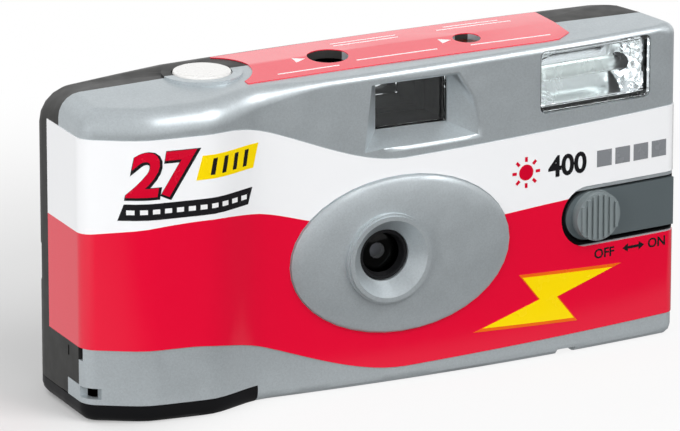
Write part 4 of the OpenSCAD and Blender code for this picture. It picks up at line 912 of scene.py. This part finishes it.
@dataclass
class Labels(Assembly):
    """The wrap label and the top label with plain printed marks.

    Places are across and up on the front, or across and back on the top. A rule has a middle and a length.
    """

    figure: float = 11.0
    figure_at: Point = (-47.5, 42.2)
    shadow_at: Point = (-47.3, 42.0)
    lean: float = 0.18
    band_at: Point = (-41.2, 39.2)
    hole: Point = (1.3, 0.85)
    first_hole: Point = (-52.2, 39.2)
    flag_at: Point = (-33.6, 46.4)
    first_bar: Point = (-37.2, 46.4)
    caption: float = 5.4
    caption_at: Point = (35.7, 34.5)
    cell: Point = (3.2, 3.1)
    first_cell: Point = (43.6, 36.4)
    sun: float = 1.5
    sun_corners: int = 20
    sun_rays: int = 8
    sun_at: Point = (26.9, 36.1)
    bolt_at: Point = (31.8, 11.6)
    bolt_turn: float = -60.0
    bolt_grow: float = 1.54
    bolt_edge: float = 1.75
    small: float = 2.5
    off_at: Point = (43.8, 17.5)
    on_at: Point = (55.4, 17.7)
    arrow_at: Point = (50.2, 18.5)
    counter_at: Point = (-13.4, -0.2)
    lamp_at: Point = (15.2, -1.0)
    rule_width: float = 0.32
    rules: tuple[Place, ...] = (
        (-14.0, -5.6, 12.0), (4.0, -4.4, 16.0), (2.0, 4.6, 13.0), (2.0, 6.0, 13.0),
        (24.0, 5.4, 15.0), (24.0, 6.8, 11.0), (26.5, -4.8, 16.0),
    )

    def build(self) -> None:
        """Builds both labels and prints them."""
        wrap = self.stand_in("wrap_label", Slot.LABEL, WRAP)
        cap = self.stand_in("top_label", Slot.LABEL, TOP_PRINT)
        front = Printer(wrap, Facing.FRONT, Body.CAMERA, Slot.LABEL)
        self.left_field(front)
        self.right_field(front)
        self.lower_field(front)
        self.top_marks(Printer(cap, Facing.TOP, Body.CAMERA, Slot.LABEL))

    def left_field(self, press: Printer) -> None:
        """Prints the number of pictures, a film strip and a yellow flag on the grip.

        Args:
            press: Prints on the wrap label.
        """
        press.words("figure_shadow", "27", self.shadow_at, self.figure, INK_DARK, 0.62, self.lean)
        press.words("figure", "27", self.figure_at, self.figure, INK_RED, 0.3, self.lean, 1)
        band = [(-13.0, -1.5), (12.0, -1.5), (13.0, 1.5), (-12.0, 1.5)]
        press.shape("film_band", band, self.band_at, INK_DARK)
        press.row("film_hole", block(*self.hole), self.first_hole, 2.2, 11, INK_WHITE, 1)
        flag = [(-6.8, -2.2), (5.6, -2.2), (6.8, 2.2), (-5.6, 2.2)]
        press.shape("flag", flag, self.flag_at, INK_YELLOW)
        bar = [(-0.5, -1.5), (0.4, -1.5), (1.0, 1.5), (0.1, 1.5)]
        press.row("flag_bar", bar, self.first_bar, 2.4, 4, INK_DARK, 1)

    def right_field(self, press: Printer) -> None:
        """Prints a film speed, film cells and a daylight sign beside the oval.

        Args:
            press: Prints on the wrap label.
        """
        press.words("speed", "400", self.caption_at, self.caption, INK_DARK, 0.16)
        press.row("film_cell", block(*self.cell), self.first_cell, 4.0, 4, INK_GREY)
        turns = [math.tau * k / self.sun_corners for k in range(self.sun_corners)]
        disc = [(self.sun * math.cos(turn), self.sun * math.sin(turn)) for turn in turns]
        press.shape("sun", disc, self.sun_at, INK_RED)
        ray = [(2.0, -0.28), (2.9, -0.28), (2.9, 0.28), (2.0, 0.28)]
        for k in range(self.sun_rays):
            press.shape(f"sun_ray_{k}", ray, self.sun_at, INK_RED, turn=360 / self.sun_rays * k)

    def lower_field(self, press: Printer) -> None:
        """Prints a flash sign and the switch's two words on the lower field.

        Args:
            press: Prints on the wrap label.
        """
        bolt = [(-4.4, -1.6), (-0.6, -1.0), (-2.4, -9.0), (4.4, 1.6), (0.6, 1.0), (2.4, 9.0)]
        press.shape("bolt_edge", bolt, self.bolt_at, INK_ORANGE, self.bolt_turn, self.bolt_edge)
        press.shape("bolt", bolt, self.bolt_at, INK_YELLOW, self.bolt_turn, self.bolt_grow, 1)
        press.words("off", "OFF", self.off_at, self.small, INK_DARK, 0.05)
        press.words("on", "ON", self.on_at, self.small, INK_DARK, 0.05)
        half = [(1.2, -0.25), (1.2, -0.8), (2.4, 0), (1.2, 0.8), (1.2, 0.25)]
        arrow = half + [(-x, -y) for x, y in half]
        press.shape("arrow", arrow, self.arrow_at, INK_DARK)

    def top_marks(self, press: Printer) -> None:
        """Prints pointers beside the counter and the lamp, and thin rules.

        Args:
            press: Prints on the top label.
        """
        pointer = [(-1.0, -1.1), (1.1, 0.0), (-1.0, 1.1)]
        press.shape("counter_pointer", pointer, self.counter_at, INK_WHITE)
        press.shape("lamp_pointer", pointer, self.lamp_at, INK_WHITE)
        for k, (x, y, long) in enumerate(self.rules):
            press.shape(f"rule_{k}", block(long, self.rule_width), (x, y), INK_WHITE)


@dataclass
class LensGroup(Assembly):
    """Lens, retaining ring and the holder behind them."""

    bend: float = 40.0

    def build(self) -> None:
        """Builds and dresses the lens and its ring."""
        self.stand_in("lens", Slot.CLEAR, LENS, self.bend)
        self.stand_in("lens_retainer", Slot.MOULDING, BLACK, self.bend)
        self.dress(MATT_BLACK, "lens_holder", "chassis")


@dataclass
class Viewfinder(Assembly):
    """Front and rear windows of the viewfinder."""

    edge: float = 0.2

    def build(self) -> None:
        """Builds and dresses both windows."""
        for node in ("finder_front_lens", "finder_eyepiece"):
            self.stand_in(node, Slot.CLEAR, ACRYLIC, bevel=self.edge)


@dataclass
class FlashUnit(Assembly):
    """Flash window, reflector, tube and lamp."""

    window_edge: float = 0.15
    bend: float = 40.0

    def build(self) -> None:
        """Builds and dresses the flash's pieces."""
        self.stand_in("flash_window", Slot.CLEAR, ACRYLIC, bevel=self.window_edge)
        self.stand_in("flash_reflector", Slot.REFLECTOR, MIRROR)
        self.stand_in("flash_tube", Slot.TUBE, TUBE, self.bend)
        self.stand_in("light_pipe", Slot.PIPE, AMBER, self.bend)
        self.dress(NEON, "ready_lamp")
        self.dress(STEEL, "tube_electrodes")


@dataclass
class Controls(Assembly):
    """Flash switch, shutter button, thumbwheel and frame counter.

    The dial's axis and the hole over it are given across and back. The coil's foot is in metres.
    """

    bend: float = 40.0
    tooth_bend: float = 25.0
    wheel_edge: float = 0.1
    plate_edge: float = 0.15
    plate_end: Place = (59.0, -7.96, 25.9)
    plate_turn: float = 7.06
    plate_room: Place = (1.0, 1.0, 0.94)
    coil_foot: Place = (-0.0318, 0.0012, 0.05562)
    coil_pressed: float = 0.2
    dial: Point = (-12.8, 1.3)
    hole: Point = (-7.8, -0.2)
    figure: float = 2.6
    figure_middle: float = 0.35
    pictures: int = 27
    count_step: int = 3
    counts: int = 10
    ink: float = 0.02

    def build(self) -> None:
        """Builds and dresses the controls."""
        seat(self.plate(), Body.SWITCH, Slot.SWITCH, SWITCH, "flash_switch")
        self.stand_in("shutter_button", Slot.WHITE, PEARL, self.bend, body=Body.BUTTON)
        wheel = (Slot.MOULDING, BLACK, self.tooth_bend, self.wheel_edge, Body.ADVANCE)
        self.stand_in("thumbwheel", *wheel)
        dial = self.stand_in("counter_dial", Slot.WHITE, PEARL, self.tooth_bend, body=Body.COUNTER)
        self.number(dial)
        coil = self.stand_in("button_spring", Slot.SPRING, STEEL, self.bend)
        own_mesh(coil)

    def plate(self) -> Piece:
        """Makes the switch's plate a little lower than its slot, so that the gap with its painted shade
        shows.

        Returns:
            The plate's piece.
        """
        plate = skin(self.frame, "flash_switch", bevel=self.plate_edge)
        pivot = Matrix.Translation(Vector(self.plate_end) * MM)
        turned = pivot @ Matrix.Rotation(math.radians(self.plate_turn), 4, "Z")
        plate.data.transform(turned @ Matrix.Diagonal((*self.plate_room, 1.0)) @ turned.inverted())
        return plate

    def number(self, dial: Piece) -> None:
        """Prints the picture numbers round the dial, each upright when it is under the hole.

        Args:
            dial: The dial's piece.
        """
        press = Printer(dial, Facing.TOP, Body.COUNTER, Slot.WHITE, self.ink, self.ink)
        about = Vector((self.dial[0] * MM, self.dial[1] * MM, 0))
        foot = (self.hole[0], self.hole[1] - self.figure_middle * self.figure)
        for k in range(self.counts):
            left = self.pictures - self.count_step * k
            figure = press.words(f"count_{left}", str(left), foot, self.figure, INK_DARK, 0.03)
            turn = Matrix.Rotation(math.tau / self.counts * k, 4, "Z")
            figure.data.transform(Matrix.Translation(about) @ turn @ Matrix.Translation(-about))


@dataclass
class InnerWorks(Assembly):
    """Everything behind the covers, which keeps its solids and gets their materials."""

    def build(self) -> None:
        """Dresses the inner solids."""
        self.dress(BLACK, "cartridge_caps", "cartridge_spool", "supply_spool")
        self.dress(ACETAL, "release_lever", "film_sprocket", "metering_cam")
        self.dress(STEEL, "blade_spring", "striker_spring", "ratchet_pawl", "battery_contacts")
        self.dress(BLADE, "shutter_blade")
        self.dress(BRASS, "striker_lever", "switch_contact", "sync_contact")
        self.dress(TIN, "cartridge_shell")
        self.dress(FILM, "film_strip", "film_roll")
        self.dress(BOARD, "circuit_board")
        self.dress(SLEEVE, "flash_capacitor")
        self.dress(FERRITE, "transformer", "board_parts")
        self.dress(COPPER, "trigger_coil")
        self.dress(WRAPPER, "battery")


@dataclass(frozen=True)
class Lamp:
    """A square soft lamp, with its place and side in metres and its power in watts."""

    name: str
    at: Place
    size: float
    power: float
    mirrored: bool = False

    def hang(self, aim: Place) -> None:
        """Hangs the lamp so that it looks at a place.

        Args:
            aim: The place in metres.
        """
        data = bpy.data.lights.new(self.name, "AREA")
        data.size = self.size
        data.energy = self.power
        lamp = bpy.data.objects.new(self.name, data)
        bpy.context.scene.collection.objects.link(lamp)
        lamp.location = self.at
        lamp.visible_glossy = self.mirrored
        lamp.rotation_euler = (Vector(aim) - Vector(self.at)).to_track_quat("-Z", "Y").to_euler()


@dataclass(frozen=True)
class Ramp:
    """A level that eases from one value to another, over a stretch along a direction."""

    over: Point
    gives: Point = (0.0, 1.0)
    way: Place = (1.0, 0.0, 0.0)

    def eased(self) -> dict:
        """Gives the settings that ease a value over the stretch."""
        keys = ("From Min", "From Max", "To Min", "To Max")
        return {"interpolation_type": "SMOOTHSTEP", **dict(zip(keys, self.over + self.gives))}

    def along(self, tree: Nodes, place: Socket) -> Socket:
        """Gives the level at a place, by how far it lies along the direction."""
        reach = add(tree, "VectorMath", {"operation": "DOT_PRODUCT", 1: self.way}, {0: place}, out="Value")
        return add(tree, "MapRange", self.eased(), {"Value": reach})


@dataclass
class Studio:
    """A pale floor, soft lamps and the camera at the photograph's angle.

    The floor is white in view away from the object and where it is lit, and keeps the shadow behind it.
    Mirrored rays see a darker floor with a glow to the left and close by, and a sky with a pale horizon.
    """

    azimuth: float = 24.9
    rise: float = 16.6
    distance: float = 1.2
    aim: Place = (-0.0065, -0.0027, 0.03)
    lens: float = 352.6
    sensor: float = 36.0
    clip: Point = (0.05, 20.0)
    floor: float = 3.0
    paper: str = "#DCDCDC"
    paper_roughness: float = 0.9
    away: Ramp = Ramp((0.07, 0.2))
    lit: Ramp = Ramp((0.04, 0.0), (0.1, 0.86), (-0.62, 0.78, 0.0))
    left_glow: Ramp = Ramp((-0.03, 0.08), (0.06, 0.5), (-0.66, 0.75, 0.0))
    close_glow: Ramp = Ramp((0.038, 0.022), (0.0, 0.26), (0.0, -1.0, 0.0))
    low_sky: Ramp = Ramp((0.65, 0.25), way=(0.0, 0.0, 1.0))
    back_sky: Ramp = Ramp((0.3, 0.9), way=(0.55, 0.83, 0.0))
    sky: Ramp = Ramp((0.0, 1.0), (0.34, 1.0))
    ambient: float = 0.42
    lamp_aim: Place = (0.0, 0.0, 0.03)
    lamps: tuple[Lamp, ...] = (
        Lamp("key", (0.75, -0.95, 1.15), 0.9, 13.0, True),
        Lamp("front", (0.1, -1.5, 0.3), 1.0, 10.3),
        Lamp("fill", (-1.35, -0.45, 0.5), 1.1, 13.3),
        Lamp("back", (-0.35, 1.0, 0.95), 1.0, 7.0),
    )

    def build(self) -> None:
        """Builds the floor, the light and the camera."""
        self.lay_floor()
        self.light_world()
        for lamp in self.lamps:
            lamp.hang(self.lamp_aim)
        self.set_camera()

    @staticmethod
    def rays(tree: Nodes, kind: str, operation: str) -> Socket:
        """Marks a kind of ray, with or without those that came through a clear piece.

        Args:
            tree: The nodes that take the mark.
            kind: The kind of ray.
            operation: MAXIMUM to join those, SUBTRACT to leave them out.

        Returns:
            The mark's socket.
        """
        ray = add(tree, "LightPath").node.outputs
        kinds = {0: ray[kind], 1: ray["Is Transmission Ray"]}
        return add(tree, "Math", {"operation": operation, "use_clamp": True}, kinds)

    def lay_floor(self) -> None:
        """Lays the floor and gives it what the view and the mirrored rays see."""
        bpy.ops.object.select_all(action="DESELECT")
        bpy.ops.mesh.primitive_plane_add(size=self.floor)
        floor = bpy.context.object
        floor.name = "floor"
        material = bpy.data.materials.new("white_paper_sweep")
        material.use_nodes = True
        tree = material.node_tree
        paper = tree.nodes["Principled BSDF"]
        paper.inputs["Base Color"].default_value = linear(self.paper)
        paper.inputs["Roughness"].default_value = self.paper_roughness
        paper.inputs["Specular IOR Level"].default_value = 0.0
        place = add(tree, "TexCoord", out="Object")
        reach = add(tree, "VectorMath", {"operation": "LENGTH"}, {0: place}, out="Value")
        away = add(tree, "MapRange", self.away.eased(), {"Value": reach})
        bare = add(tree, "Math", {"operation": "MAXIMUM"}, {0: away, 1: self.lit.along(tree, place)})
        white = add(tree, "Emission", {"Color": (1, 1, 1, 1), "Strength": 1.0})
        seen = add(tree, "MixShader", None, {0: bare, 1: paper.outputs[0], 2: white})
        glows = {0: self.left_glow.along(tree, place), 1: self.close_glow.along(tree, place)}
        glow = add(tree, "Math", {"operation": "MAXIMUM"}, glows)
        mirrored = add(tree, "Emission", {"Color": (1, 1, 1, 1)}, {"Strength": glow})
        view = self.rays(tree, "Is Camera Ray", "MAXIMUM")
        blend = add(tree, "MixShader", None, {0: view, 1: mirrored, 2: seen})
        tree.links.new(blend, tree.nodes["Material Output"].inputs["Surface"])
        floor.data.materials.append(material)

    def light_world(self) -> None:
        """Gives an even soft light, white in view, and a pale horizon at the back for reflections."""
        world = bpy.data.worlds.new("studio")
        bpy.context.scene.world = world
        world.use_nodes = True
        tree = world.node_tree
        way = add(tree, "TexCoord")
        parts = {0: self.low_sky.along(tree, way), 1: self.back_sky.along(tree, way)}
        pale = add(tree, "Math", {"operation": "MULTIPLY"}, parts)
        sky = add(tree, "MapRange", self.sky.eased(), {"Value": pale})
        view = self.rays(tree, "Is Camera Ray", "MAXIMUM")
        level = add(tree, "MapRange", {"To Min": self.ambient}, {"Value": view})
        bounced = self.rays(tree, "Is Glossy Ray", "SUBTRACT")
        strength = add(tree, "Mix", {"data_type": "FLOAT"}, {0: bounced, 2: level, 3: sky})
        tree.links.new(strength, tree.nodes["Background"].inputs["Strength"])
        tree.nodes["Background"].inputs["Color"].default_value = (1, 1, 1, 1)

    def set_camera(self) -> None:
        """Sets the camera at the photograph's angle."""
        turn, rise = math.radians(self.azimuth), math.radians(self.rise)
        flat = math.cos(rise)
        back = Vector((-math.sin(turn) * flat, -math.cos(turn) * flat, math.sin(rise)))
        data = bpy.data.cameras.new("photo_view")
        data.sensor_width = self.sensor
        data.sensor_fit = "HORIZONTAL"
        data.lens = self.lens
        data.clip_start, data.clip_end = self.clip
        view = bpy.data.objects.new("photo_view", data)
        bpy.context.scene.collection.objects.link(view)
        view.location = Vector(self.aim) + back * self.distance
        view.rotation_euler = (-back).to_track_quat("-Z", "Y").to_euler()
        bpy.context.scene.camera = view


def main() -> None:
    """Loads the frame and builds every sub-assembly."""
    logging.basicConfig(level=logging.INFO, format="%(name)s: %(message)s")
    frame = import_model()
    bpy.context.scene.view_settings.view_transform = "Standard"
    Studio().build()
    for assembly in (Covers, Labels, LensGroup, Viewfinder, FlashUnit, Controls, InnerWorks):
        LOG.info("building %s", assembly.__name__)
        assembly(frame).build()


if __name__ == "__main__":
    main()
